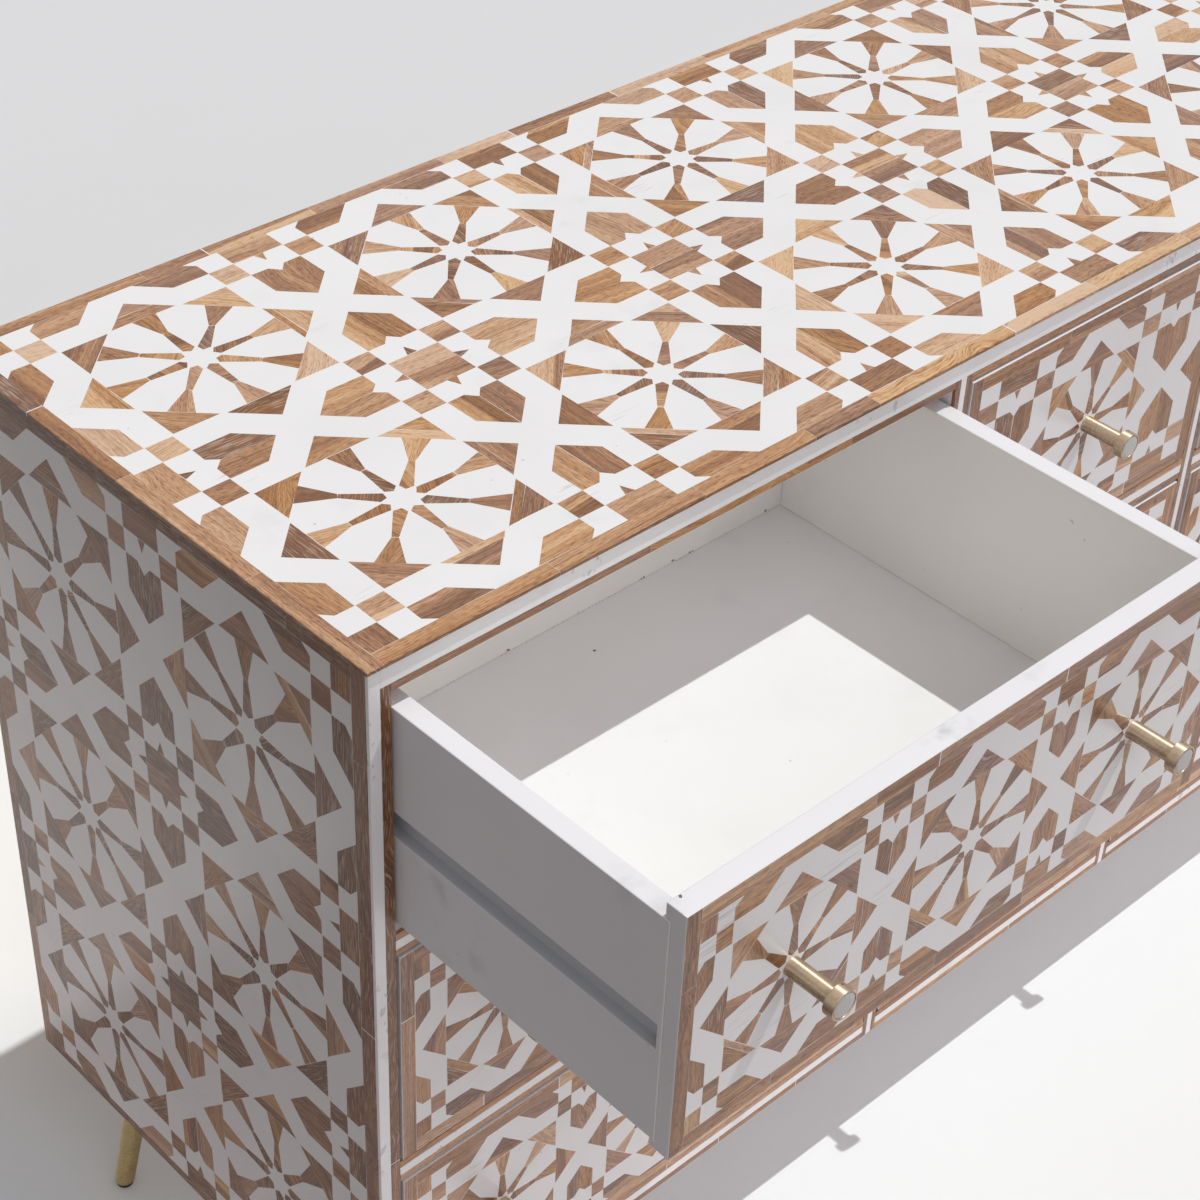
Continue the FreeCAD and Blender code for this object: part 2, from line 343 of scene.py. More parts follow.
def field_pieces(rng, panel, settings):
    """All the wood of a panel's field, tile by tile and then along the lines between tiles."""
    left, right, below, above = panel.borders
    low = Vector((left, below))
    high = Vector((panel.size[0] - right, panel.size[1] - above))
    star, step = panel.star, panel.step
    pitch = Vector((2 * star.x + 4 * step.x, 2 * star.y + 4 * step.y))
    across, up = panel.tiles
    start = (low + high) / 2 - Vector((pitch.x * across / 2, pitch.y * up / 2))

    def at(i, j):
        return start + Vector((pitch.x * i, pitch.y * j))

    pieces = []
    for i in range(across):
        for j in range(up):
            centre = at(i + 0.5, j + 0.5)
            pieces += rosette_pieces(rng, centre, star, panel.spoke)
            for sx in (-1, 1):
                for sy in (-1, 1):
                    near = centre + Vector((sx * star.x, sy * star.y))
                    far = near + Vector((sx * step.x, sy * step.y))
                    outline = box_outline(min(near.x, far.x), min(near.y, far.y),
                                          max(near.x, far.x), max(near.y, far.y))
                    pieces.append(new_piece(rng, outline, rng.uniform(-0.25, 0.25), SQUARES, 0.5))
    for upright, lines, tiles in ((True, across, up), (False, up, across)):
        for line in range(lines + 1):
            sides = [side for side, there in ((-1, line > 0), (1, line < lines)) if there]
            for tile in range(tiles):
                middle = at(line, tile + 0.5) if upright else at(tile + 0.5, line)
                pieces += heart_pieces(rng, middle, upright, star, step, panel.strap, sides)
    for i in range(across + 1):
        for j in range(up + 1):
            inside = (i > 0, i < across, j > 0, j < up)
            pieces += corner_pieces(rng, at(i, j), star, step, inside)
    kept = []
    smallest_area = 2
    for piece in pieces:
        outline = clip_to(piece.outline, low, high)
        if len(outline) >= 3 and abs(area_of(outline)) > smallest_area:
            kept.append(piece._replace(outline=hand_cut(rng, outline, settings)))
    return kept


def border_pieces(rng, panel, settings, level_mix):
    """Strips round the field, in several lengths a side; level_mix is for the upper and lower ones."""
    width, height = panel.size
    left, right, below, above = panel.borders
    edge = panel.edge
    gap = settings.joint_gap / MM / 2
    runs = [
        (edge, left - gap, edge, height - edge, 1, SIDE_BORDER),
        (width - right + gap, width - edge, edge, height - edge, 1, SIDE_BORDER),
        (left + gap, width - right - gap, edge, below - gap, 0, level_mix),
        (left + gap, width - right - gap, height - above + gap, height - edge, 0, level_mix),
    ]
    pieces = []
    for x0, x1, y0, y1, lengthwise, mix in runs:
        start, end = (y0, y1) if lengthwise else (x0, x1)
        while start < end:
            stop = start + rng.uniform(*BORDER_LENGTHS)
            if end - stop < SHORTEST_BORDER:
                stop = end
            space = rng.choice(BORDER_JOINTS) if stop < end else 0
            if lengthwise:
                outline = box_outline(x0, start, x1, stop - space)
            else:
                outline = box_outline(start, y0, stop - space, y1)
            grain = lengthwise * math.pi / 2 + rng.uniform(-0.03, 0.03)
            pieces.append(new_piece(rng, outline, grain, mix))
            start = stop
    return pieces


# The mesh of a marquetry panel

def laid_flat(panel, pieces):
    """Triangles of the panel's face, and for each the piece that it belongs to, or None for the ground."""
    edge = panel.edge
    outlines = [box_outline(edge, edge, panel.size[0] - edge, panel.size[1] - edge)]
    outlines += [piece.outline for piece in pieces]
    points, loops = [], []
    for outline in outlines:
        loops.append(list(range(len(points), len(points) + len(outline))))
        points += outline
    flat, _, triangles, _, _, owners = delaunay_2d_cdt(points, [], loops, 0, 1e-4)
    holders = [max(owner) - 1 if owner else -1 for owner in owners]
    return flat, triangles, [pieces[i] if i >= 0 else None for i in holders]


def panel_mesh(panel, pieces, white_edge):
    """A closed slab whose face is cut into the pieces and the white ground, with an eased edge all round."""
    flat, triangles, holders = laid_flat(panel, pieces)
    width, height = panel.size
    edge, depth = panel.edge, panel.thickness
    origin, across, up = Vector(panel.corner), Vector(panel.across), Vector(panel.up)
    out = across.cross(up)
    places, spread = [], []

    def add(x, y, drop, unfold):
        places.append(origin + (across * x + up * y) * MM - out * drop * MM)
        spread.append(unfold)
        return len(places) - 1

    for p in flat:
        add(p.x, p.y, 0, Vector((p.x, p.y)))
    partners = {}
    for index, corners in enumerate(triangles):
        for a, b in zip(corners, corners[1:] + corners[:1]):
            partners[(a, b)] = index
    rim = {a: (b, face) for (a, b), face in partners.items() if (b, a) not in partners}
    eased, foot = {}, {}
    for a in rim:
        x, y = flat[a]
        away = Vector((0.0, 0.0))
        away.x = -1 if x < 2 * edge else 1 if x > width - 2 * edge else 0
        away.y = -1 if y < 2 * edge else 1 if y > height - 2 * edge else 0
        moved = Vector((x, y)) + away * edge
        eased[a] = add(moved.x, moved.y, edge, moved)
        foot[a] = add(moved.x, moved.y, depth, moved + away * depth)
    faces, owners = list(triangles), list(holders)
    for a, (b, face) in rim.items():
        holder = None if white_edge else holders[face]
        faces.append([b, a, eased[a], eased[b]])
        owners.append(holder)
        faces.append([eased[b], eased[a], foot[a], foot[b]])
        owners.append(holder and holder._replace(tone=max(0.0, holder.tone - EDGE_DARKENING)))
    start = next(iter(rim))
    ring = [start]
    while rim[ring[-1]][0] != start:
        ring.append(rim[ring[-1]][0])
    faces.append([foot[a] for a in reversed(ring)])
    owners.append(None)
    mesh = bpy.data.meshes.new(panel.name)
    mesh.from_pydata(places, [], faces)

    def grain_place(piece, corner):
        shift = Vector((piece.seed * 7.3 % 1, piece.seed * 13.7 % 1))
        return Matrix.Rotation(-piece.grain, 2) @ spread[corner] * MM + shift

    mark_wood(mesh, owners, grain_place)
    lay_map(mesh, spread, panel)
    # A front's edge faces take the third finish, a smudged paint drawn greyer as painted shade
    if white_edge:
        for polygon in mesh.polygons:
            if abs(polygon.normal.dot(out)) < 0.5:
                polygon.material_index = 2
    return mesh


def mark_wood(mesh, owners, grain_place):
    """Material, tone and grain map of each face; grain_place puts a vertex along and across the grain."""
    mesh.polygons.foreach_set("material_index", [0 if piece is None else 1 for piece in owners])
    tones, maps = [], []
    for polygon in mesh.polygons:
        piece = owners[polygon.index] or FILLER
        tones.extend((piece.tone, piece.seed, piece.sap))
        for corner in polygon.vertices:
            maps.extend(grain_place(piece, corner))
    mesh.attributes.new("piece", "FLOAT_VECTOR", "FACE")
    mesh.uv_layers.new(name="grain")
    mesh.attributes["piece"].data.foreach_set("vector", tones)
    mesh.uv_layers["grain"].data.foreach_set("uv", maps)


def lay_map(mesh, spread, panel):
    """A second map that holds the whole face and its unfolded edges, with the back in a strip above."""
    layer = mesh.uv_layers.new(name="OFBake")
    face_share, back_from = 0.97, 0.98
    depth = panel.thickness
    width = panel.size[0] + 2 * depth
    height = panel.size[1] + 2 * depth
    back = len(mesh.polygons) - 1
    for polygon in mesh.polygons:
        for loop in polygon.loop_indices:
            place = spread[mesh.loops[loop].vertex_index]
            v = (place.y + depth) / height
            v = back_from + (1 - back_from) * v if polygon.index == back else face_share * v
            layer.data[loop].uv = ((place.x + depth) / width, v)


# Pieces and their place in the frame

def placed(name, mesh, body, nodes, materials, rounded=False):
    """Link a finished mesh as a piece that rides on a body and stands for its CAD nodes."""
    for material in materials:
        mesh.materials.append(material)
    if rounded:
        mesh.shade_smooth()
        mesh.set_sharp_from_angle(angle=math.radians(38))
    piece = bpy.data.objects.new(name, mesh)
    bpy.context.scene.collection.objects.link(piece)
    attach(piece, body)
    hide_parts(*nodes)


def solids_of(node):
    """The closed solids of a CAD node, as lists of faces; one ends where each edge has met its partner."""
    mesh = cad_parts[node].data
    solids, faces, waiting = [], [], set()
    for polygon in mesh.polygons:
        corners = [tuple(round(c, 6) for c in mesh.vertices[i].co) for i in polygon.vertices]
        faces.append(corners)
        for a, b in zip(corners, corners[1:] + corners[:1]):
            if (b, a) in waiting:
                waiting.remove((b, a))
            else:
                waiting.add((a, b))
        if not waiting:
            solids.append(faces)
            faces = []
    if faces:
        raise RuntimeError(node + " isn't made of closed solids")
    return solids


def extent(faces):
    """The lowest and the highest corner of a solid."""
    places = [place for face in faces for place in face]
    low = Vector([min(place[i] for place in places) for i in range(3)])
    high = Vector([max(place[i] for place in places) for i in range(3)])
    return low, high


def add_solid(target, faces, ease, covered_y=None):
    """Add a solid to a bmesh with its outer edges eased, but for those round a face under a sheet."""
    part = bmesh.new()
    corners = {}
    for face in faces:
        for place in face:
            if place not in corners:
                corners[place] = part.verts.new(place)
        part.faces.new([corners[place] for place in face])
    flat_angle, sharp_angle = 0.02, 0.5
    bmesh.ops.dissolve_limit(part, angle_limit=flat_angle, verts=part.verts, edges=part.edges)
    part.normal_update()
    sharp = [e for e in part.edges if e.is_manifold and e.calc_face_angle_signed() > sharp_angle]
    if covered_y is not None:
        sharp = [e for e in sharp if any(abs(v.co.y - covered_y) > 1e-5 for v in e.verts)]
    bmesh.ops.bevel(part, geom=sharp, offset=ease, segments=2, profile=0.5, affect="EDGES",
                    clamp_overlap=True)
    join(target, part)


def mesh_of(name, whole):
    """A mesh with a bmesh's faces, which uses the bmesh up."""
    mesh = bpy.data.meshes.new(name)
    whole.to_mesh(mesh)
    whole.free()
    return mesh


def join(target, part):
    """Move one bmesh's faces into another."""
    mesh = mesh_of("part", part)
    target.from_mesh(mesh)
    bpy.data.meshes.remove(mesh)


def eased_copy(node, ease, covered_y=None, add_marks=None):
    """A copy of a CAD node's solids with eased edges, and any marks that belong on it."""
    whole = bmesh.new()
    for faces in solids_of(node):
        add_solid(whole, faces, ease, covered_y)
    if add_marks:
        add_marks(whole, node)
    return mesh_of(node + "_eased", whole)


def box_faces(low, high):
    """The six faces of a box between two corners."""
    (x0, y0, z0), (x1, y1, z1) = low, high
    return [
        [(x0, y0, z0), (x0, y1, z0), (x1, y1, z0), (x1, y0, z0)],
        [(x0, y0, z1), (x1, y0, z1), (x1, y1, z1), (x0, y1, z1)],
        [(x0, y0, z0), (x1, y0, z0), (x1, y0, z1), (x0, y0, z1)],
        [(x1, y1, z0), (x0, y1, z0), (x0, y1, z1), (x1, y1, z1)],
        [(x0, y1, z0), (x0, y0, z0), (x0, y0, z1), (x0, y1, z1)],
        [(x1, y0, z0), (x1, y1, z0), (x1, y1, z1), (x1, y0, z1)],
    ]


def turned(target, outline, place, axis, sides, material=0):
    """Turn an outline of (radius, distance) about an axis, closed at both ends, into a bmesh."""
    part = bmesh.new()
    lathe = part.loops.layers.uv.new("lathe")
    place = Vector(place)
    axis = Vector(axis).normalized()
    first = axis.orthogonal().normalized()
    second = axis.cross(first)
    angles = [2 * math.pi * i / sides for i in range(sides)]
    rings = []
    for radius, distance in outline:
        middle = place + axis * distance
        if radius == 0:
            rings.append([part.verts.new(middle)])
            continue
        around = [middle + (first * math.cos(t) + second * math.sin(t)) * radius for t in angles]
        rings.append([part.verts.new(corner) for corner in around])
    for below, above in zip(rings, rings[1:]):
        for i in range(sides):
            j = (i + 1) % sides
            turns = ((below, i), (below, j), (above, j), (above, i))
            corners = [ring[turn % len(ring)] for ring, turn in turns]
            face = part.faces.new(list(dict.fromkeys(corners)))
            face.material_index = material
            lay_lathe_map(face, lathe, place, axis, first)
    bmesh.ops.recalc_face_normals(part, faces=part.faces)
    join(target, part)


def lay_lathe_map(face, layer, place, axis, first):
    """A map whose first coordinate runs along an axis, across the lathe marks that go round it."""
    second = axis.cross(first)
    away = face.calc_center_median() - place
    middle = math.atan2(away.dot(second), away.dot(first))
    for loop in face.loops:
        away = loop.vert.co - place
        turn = math.atan2(away.dot(second), away.dot(first)) - middle
        turn = (turn + math.pi) % (2 * math.pi) - math.pi
        loop[layer].uv = (away.dot(axis) * 10, (middle + turn) / (2 * math.pi))


# Shader wiring

class Wiring:
    """Adds nodes to a tree and joins them, so that a finish reads as a list of steps."""

    def __init__(self, tree):
        self.tree = tree

    def add(self, kind, **settings):
        node = self.tree.nodes.new(kind)
        for name, value in settings.items():
            setattr(node, name, value)
        return node

    def feed(self, socket, value):
        if isinstance(value, bpy.types.NodeSocket):
            self.tree.links.new(value, socket)
        else:
            socket.default_value = value

    def math(self, operation, a, b=0.0):
        node = self.add("ShaderNodeMath", operation=operation)
        self.feed(node.inputs[0], a)
        self.feed(node.inputs[1], b)
        return node.outputs[0]

    def times(self, a, b):
        return self.math("MULTIPLY", a, b)

    def total(self, *parts):
        value = parts[0]
        for part in parts[1:]:
            value = self.math("ADD", value, part)
        return value

    def scaled(self, value, factor):
        """A noise moved to swing about zero, times a factor."""
        return self.times(self.math("SUBTRACT", value, 0.5), factor)

    def smooth(self, value, low, high):
        node = self.add("ShaderNodeMapRange", interpolation_type="SMOOTHSTEP")
        self.feed(node.inputs["Value"], value)
        self.feed(node.inputs["From Min"], low)
        self.feed(node.inputs["From Max"], high)
        return node.outputs["Result"]

    def blend(self, share, a, b):
        node = self.add("ShaderNodeMix", data_type="RGBA")
        self.feed(node.inputs[0], share)
        self.feed(node.inputs[6], a)
        self.feed(node.inputs[7], b)
        return node.outputs[2]

    def place(self, x, y, z):
        node = self.add("ShaderNodeCombineXYZ")
        for socket, value in zip(node.inputs, (x, y, z)):
            self.feed(socket, value)
        return node.outputs[0]

    def parts(self, vector):
        node = self.add("ShaderNodeSeparateXYZ")
        self.feed(node.inputs[0], vector)
        return node.outputs

    def object_place(self):
        return self.add("ShaderNodeTexCoord").outputs["Object"]

    def mesh_value(self, name, output):
        """A value that the mesh carries under a name."""
        node = self.add("ShaderNodeAttribute", attribute_type="GEOMETRY", attribute_name=name)
        return node.outputs[output]

    def noise(self, vector, scale=1.0, detail=0.0):
        node = self.add("ShaderNodeTexNoise", noise_dimensions="3D")
        self.feed(node.inputs["Vector"], vector)
        node.inputs["Scale"].default_value = scale
        node.inputs["Detail"].default_value = detail
        return node.outputs[0]

    def spots(self, vector, scale, detail, low, high):
        """The peaks of a noise, from nothing at a low value to full at a high one."""
        return self.smooth(self.noise(vector, scale, detail), low, high)

    def ramp(self, value, stops):
        node = self.add("ShaderNodeValToRGB")
        while len(node.color_ramp.elements) < len(stops):
            node.color_ramp.elements.new(0.5)
        for element, (position, colour) in zip(node.color_ramp.elements, stops):
            element.position = position
            element.color = opaque(colour)
        self.feed(node.inputs[0], value)
        return node.outputs[0]

    def bump(self, height, strength, distance):
        node = self.add("ShaderNodeBump")
        node.inputs["Strength"].default_value = strength
        node.inputs["Distance"].default_value = distance
        self.feed(node.inputs["Height"], height)
        return node.outputs[0]

    def group(self, name, **values):
        node = self.add("ShaderNodeGroup", node_tree=bpy.data.node_groups[name])
        for socket, value in values.items():
            self.feed(node.inputs[socket], value)
        return node.outputs

    def dress(self, shader, colour, roughness, normal):
        self.feed(shader["Base Color"], colour)
        self.feed(shader["Roughness"], roughness)
        self.feed(shader["Normal"], normal)


def opaque(colour, level=1.0):
    """A colour times a level, with full alpha."""
    return (*(level * part for part in colour), 1)


def colours():
    """The colours that the user has set."""
    return bpy.context.scene.dresser_finish


def new_group(name, inputs, outputs):
    """An empty shader group with named sockets; returns its wiring, its inputs and its output node."""
    tree = bpy.data.node_groups.new(name, "ShaderNodeTree")
    for socket, kind in inputs:
        tree.interface.new_socket(socket, in_out="INPUT", socket_type="NodeSocket" + kind)
    for socket, kind in outputs:
        tree.interface.new_socket(socket, in_out="OUTPUT", socket_type="NodeSocket" + kind)
    wiring = Wiring(tree)
    return wiring, wiring.add("NodeGroupInput").outputs, wiring.add("NodeGroupOutput").inputs


def wood_grain_group():
    """Grain along the first coordinate: rings, fine lines, pores, pale flecks in dark wood, sapwood bands."""
    inputs = [("Vector", "Vector"), ("Tone", "Float"), ("Seed", "Float"), ("Sap", "Float")]
    outputs = [("Color", "Color"), ("Roughness", "Float"), ("Height", "Float")]
    w, given, result = new_group("wood grain", inputs, outputs)
    finish = colours()
    along, across, _ = w.parts(given["Vector"])
    seed = w.times(given["Seed"], 60.0)
    wild = w.math("POWER", w.math("FRACT", w.times(given["Seed"], 7.7)), 4.0)
    sway = w.noise(w.place(w.times(along, 16.0), w.times(across, 22.0), seed), detail=1.0)
    bent = w.math("ADD", across, w.scaled(sway, w.total(w.times(wild, 0.045), 0.003)))

    def streaks(length, width, offset, detail):
        """A noise drawn out along the grain, with its length and width in metres."""
        x = w.times(along, 1 / length)
        y = w.times(bent, 1 / width)
        return w.noise(w.place(x, y, w.math("ADD", seed, offset)), detail=detail)

    rings = streaks(0.30, 0.0100, 3.0, 1.0)
    lines = streaks(0.08, 0.0008, 9.0, 1.0)
    veins = w.smooth(streaks(0.16, 0.0021, 41.0, 1.0), 0.54, 0.68)
    pores = w.smooth(streaks(0.0060, 0.0005, 17.0, 0.0), 0.54, 0.66)
    flecks = w.smooth(streaks(0.0140, 0.0008, 23.0, 0.0), 0.58, 0.70)
    sapwood = w.smooth(streaks(0.60, 0.022, 31.0, 0.0), 0.47, 0.53)
    value = w.total(
        given["Tone"],
        w.scaled(rings, 0.74),
        w.scaled(lines, 0.68),
        w.times(veins, -0.15),
        w.scaled(sapwood, w.times(given["Sap"], 0.50)),
        w.times(pores, -0.38),
        0.10,
    )
    colour = w.ramp(value, [
        (0.0, finish.darkest_wood),
        (0.22, finish.dark_wood),
        (0.48, finish.brown_wood),
        (0.72, finish.tan_wood),
        (1.0, finish.honey_wood),
    ])
    limed = w.times(flecks, w.math("SUBTRACT", 0.50, w.smooth(given["Tone"], 0.10, 0.45)))
    hue = w.add("ShaderNodeHueSaturation")
    warmth = w.math("FRACT", w.times(given["Seed"], 23.3))
    w.feed(hue.inputs["Hue"], w.total(0.5, w.scaled(warmth, 0.007)))
    w.feed(hue.inputs["Saturation"], w.total(1.10, w.scaled(warmth, 0.26)))
    w.feed(hue.inputs["Color"], w.blend(w.math("MAXIMUM", limed, 0.0), colour, opaque(finish.fleck)))
    w.feed(result["Color"], hue.outputs[0])
    w.feed(result["Roughness"], w.total(0.25, w.scaled(lines, 0.2), w.times(pores, 0.12)))
    w.feed(result["Height"], w.total(lines, w.times(pores, -1.2)))


def faint_marks_group():
    """Cloudy patches, soft smudges, thin scratches in a few places and sparse specks, as four masks."""
    inputs = [("Vector", "Vector"), ("Offset", "Float")]
    outputs = [("Cloud", "Float"), ("Smudges", "Float"), ("Scratches", "Float"), ("Specks", "Float")]
    w, given, result = new_group("faint marks", inputs, outputs)
    x, y, z = w.parts(given["Vector"])
    base = w.place(w.math("ADD", x, given["Offset"]), y, z)
    w.feed(result["Cloud"], w.noise(base, 9.0, 3.0))
    patches = w.spots(base, 6.0, 1.0, 0.50, 0.66)
    w.feed(result["Smudges"], w.times(w.spots(base, 38.0, 3.0, 0.52, 0.78), patches))
    slant = w.math("ADD", x, w.times(y, 0.6))
    thin = w.place(w.times(slant, 30.0), w.times(y, 1100.0), w.times(z, 900.0))
    few = w.spots(base, 14.0, 1.0, 0.66, 0.72)
    w.feed(result["Scratches"], w.times(w.spots(thin, 1.0, 0.0, 0.66, 0.76), few))
    sparse = w.spots(base, 17.0, 1.0, 0.58, 0.66)
    w.feed(result["Specks"], w.times(w.spots(base, 260.0, 0.0, 0.83, 0.86), sparse))


def shell_material(name):
    """A new material with only its output and a Principled shader, and the wiring to go on with."""
    material = bpy.data.materials.new(name)
    material.use_nodes = True
    tree = material.node_tree
    tree.nodes.clear()
    w = Wiring(tree)
    shader = w.add("ShaderNodeBsdfPrincipled")
    output = w.add("ShaderNodeOutputMaterial")
    tree.links.new(shader.outputs[0], output.inputs["Surface"])
    return material, w, shader.inputs


# Finishes

def inlay_wood(name):
    """Polished wood, with the tone and the grain that each sawn piece carries."""
    material, w, shader = shell_material(name)
    tone, seed, sap = w.parts(w.mesh_value("piece", "Vector"))
    grain_map = w.add("ShaderNodeUVMap", uv_map="grain").outputs[0]
    grain = w.group("wood grain", Vector=grain_map, Tone=tone, Seed=seed, Sap=sap)
    w.dress(shader, grain["Color"], grain["Roughness"], w.bump(grain["Height"], 0.12, 0.0003))
    return material


def plain_wood(name, along, across, tone, seed, dullness):
    """Unpolished wood; along and across name the axes that run with its grain and over it."""
    material, w, shader = shell_material(name)
    axes = dict(zip("xyz", w.parts(w.object_place())))
    over = w.total(*(axes[letter] for letter in across))
    grain = w.group("wood grain", Vector=w.place(axes[along], over, 0.0), Tone=tone, Seed=seed, Sap=0.0)
    roughness = w.math("ADD", grain["Roughness"], dullness)
    w.dress(shader, grain["Color"], roughness, w.bump(grain["Height"], 0.15, 0.0003))
    return material


def white_ground(name, white, scuffed):
    """White filler polished level with the wood, with faint scratches, and knocks where it is scuffed."""
    material, w, shader = shell_material(name)
    place = w.object_place()
    marks = w.group("faint marks", Vector=place, Offset=3.0)
    smudge = opaque(colours().smudge)
    cloud = w.times(w.smooth(marks["Cloud"], 0.35, 0.75), 0.30)
    clouded = w.blend(cloud, opaque(white), opaque(white, 0.86))
    smudged = w.blend(w.times(marks["Smudges"], 0.12), clouded, smudge)
    darkening = w.math("MAXIMUM", marks["Scratches"], marks["Specks"])
    if scuffed:
        x, y, z = w.parts(place)
        stretched = w.place(w.times(x, 150.0), w.times(y, 150.0), w.times(z, 90.0))
        patches = w.spots(place, 11.0, 1.0, 0.52, 0.62)
        knocks = w.times(w.spots(stretched, 1.0, 2.0, 0.60, 0.66), patches)
        darkening = w.math("MAXIMUM", darkening, knocks)
    marked = w.blend(w.times(darkening, 0.5), smudged, smudge)
    roughness = w.total(0.25, w.scaled(marks["Cloud"], 0.14))
    w.dress(shader, marked, roughness, w.bump(w.noise(place, 260.0, 2.0), 0.05, 0.0004))
    return material


def painted(name, white, smudge_share, darkening=None):
    """Sprayed satin paint: a pebbled skin, clouds, smudges, specks, and painted shade in a second colour
    where the mesh marks it.
    """
    material, w, shader = shell_material(name)
    place = w.object_place()
    marks = w.group("faint marks", Vector=place, Offset=0.0)
    dirt = opaque(white, 0.5)
    cloud = w.times(w.smooth(marks["Cloud"], 0.35, 0.8), 0.3)
    clouded = w.blend(cloud, opaque(white), opaque(white, 0.86))
    smudged = w.blend(w.times(marks["Smudges"], smudge_share), clouded, dirt)
    colour = w.blend(w.times(marks["Specks"], 0.6), smudged, dirt)
    # Painted shade: the darkening colour goes where the mesh marks a groove's shade
    if darkening:
        colour = w.blend(w.mesh_value("wear", "Fac"), colour, opaque(darkening))
    roughness = w.total(0.46, w.scaled(marks["Cloud"], 0.2))
    w.dress(shader, colour, roughness, w.bump(w.noise(place, 700.0, 2.0), 0.08, 0.0004))
    return material


def turned_brass(name, bright, dull):
    """Brass with fine lathe marks and an uneven tarnish, with painted shade that darkens the sides that face
    down.
    """
    material, w, shader = shell_material(name)
    place = w.object_place()
    tarnish = w.noise(place, 60.0, 3.0)
    speckle = w.noise(place, 520.0, 2.0)
    fine = w.noise(place, 900.0, 2.0)
    facing = w.parts(w.add("ShaderNodeNewGeometry").outputs["Normal"])[2]
    # Painted shade: the sides that face down are drawn darker, mixed with the uneven tarnish
    tarnish_and_underside_shade = w.total(w.smooth(facing, 0.45, -0.75), w.scaled(tarnish, 0.5), w.scaled(speckle, 1.1))
    colour = w.blend(tarnish_and_underside_shade, opaque(bright), opaque(dull))
    roughness = w.total(0.44, w.scaled(tarnish, 0.10), w.scaled(fine, 0.08))
    w.dress(shader, colour, roughness, w.bump(fine, 0.06, 0.0002))
    tangent = w.add("ShaderNodeTangent", direction_type="UV_MAP", uv_map="lathe")
    w.feed(shader["Tangent"], tangent.outputs[0])
    shader["Metallic"].default_value = 1.0
    shader["Anisotropic"].default_value = 0.8
    return material


def stippled(name, grain, dark, light, roughness, bump, metallic=0.0, contrast=None):
    """A finish mottled by one noise of a scale and detail; pairs give roughness and swing, bump and depth."""
    material, w, shader = shell_material(name)
    stipple = w.noise(w.object_place(), *grain)
    share = w.smooth(stipple, *contrast) if contrast else stipple
    level, swing = roughness
    w.dress(shader, w.blend(share, opaque(dark), opaque(light)),
            w.total(level, w.scaled(stipple, swing)), w.bump(stipple, *bump))
    shader["Metallic"].default_value = metallic
    return material


def pale_disc(name):
    """The grey insert in a knob's end, with a fine stippled face."""
    pale = colours().disc
    return stippled(name, (1500.0, 1.0), opaque(pale, 0.8)[:3], pale, (0.38, 0.2), (0.1, 0.0002),
                    contrast=(0.40, 0.62))


def stain_and_gap_shade(name):
    """Brown marks of pins, and painted shade of an open joint."""
    return stippled(name, (900.0, 2.0), (0.09, 0.06, 0.045), (0.24, 0.17, 0.12), (0.8, 0.2), (0.2, 0.0003))


def dark_steel(name):
    """Blackened steel of the leg plates and screws."""
    return stippled(name, (140.0, 4.0), (0.06, 0.06, 0.06), (0.16, 0.15, 0.14), (0.42, 0.3), (0.1, 0.0003),
                    metallic=1.0)


def black_rubber(name):
    """Foot pads with a gritty face."""
    return stippled(name, (800.0, 2.0), (0.012, 0.012, 0.012), (0.035, 0.034, 0.033), (0.7, 0.2),
                    (0.2, 0.0003))


FINISHES = {
    "inlay wood": inlay_wood,
    "inlay white": lambda name: white_ground(name, colours().inlay_white, False),
    "scuffed white": lambda name: white_ground(name, colours().brightened_band_white, True),
    "white paint": lambda name: painted(name, colours().white_paint, 0.08),
    "wall paint": lambda name: painted(name, colours().wall_paint, 0.08),
    "rubbed paint": lambda name: painted(name, colours().rubbed_paint, 0.7, colours().groove_shade_colour),
    "seam stain": stain_and_gap_shade,
    "plywood back": lambda name: plain_wood(name, "z", "x", 0.86, 0.31, 0.2),
    "runner wood": lambda name: plain_wood(name, "y", "xz", 0.68, 0.57, 0.1),
    "knob brass": lambda name: turned_brass(name, colours().knob_brass, colours().knob_tarnish_and_shade),
    "leg brass": lambda name: turned_brass(name, colours().leg_brass, colours().leg_tarnish_and_shade),
    "pale disc": pale_disc,
    "dark steel": dark_steel,
    "black rubber": black_rubber,
}


def finish_named(name):
    """A material, made the first time that a piece asks for it."""
    if "wood grain" not in bpy.data.node_groups:
        wood_grain_group()
        faint_marks_group()
    return bpy.data.materials.get(name) or FINISHES[name](name)


# What a user would change

def length_property(name, description, default, low, high):
    return FloatProperty(
        name=name, description=description, default=default, min=low, max=high, precision=5, unit="LENGTH")


def colour_property(name, description, default):
    return FloatVectorProperty(
        name=name, description=description, default=default, size=3, min=0.0, max=1.0, subtype="COLOR")


def direction_property(name, description, default):
    return FloatVectorProperty(
        name=name, description=description, default=default, size=3, subtype="DIRECTION")


def strength_property(name, description, default):
    return FloatProperty(name=name, description=description, default=default, min=0.0, max=10.0)


def angle_property(name, description, degrees):
    return FloatProperty(
        name=name, description=description, default=math.radians(degrees),
        min=0.0, max=math.radians(160), subtype="ANGLE")


class DresserInlay(bpy.types.PropertyGroup):
    """Sizes of the marquetry."""

    joint_gap: length_property(
        "Joint gap", "Widest line of filler round a sawn piece", 0.14 * MM, 0.0, 2 * MM)
    saw_wander: length_property(
        "Saw wander", "How far a corner strays from its place", 0.3 * MM, 0.0, 1 * MM)
    eased_edge: length_property(
        "Eased edge", "Width of the rounding on board edges", 0.8 * MM, 0.1 * MM, 3 * MM)


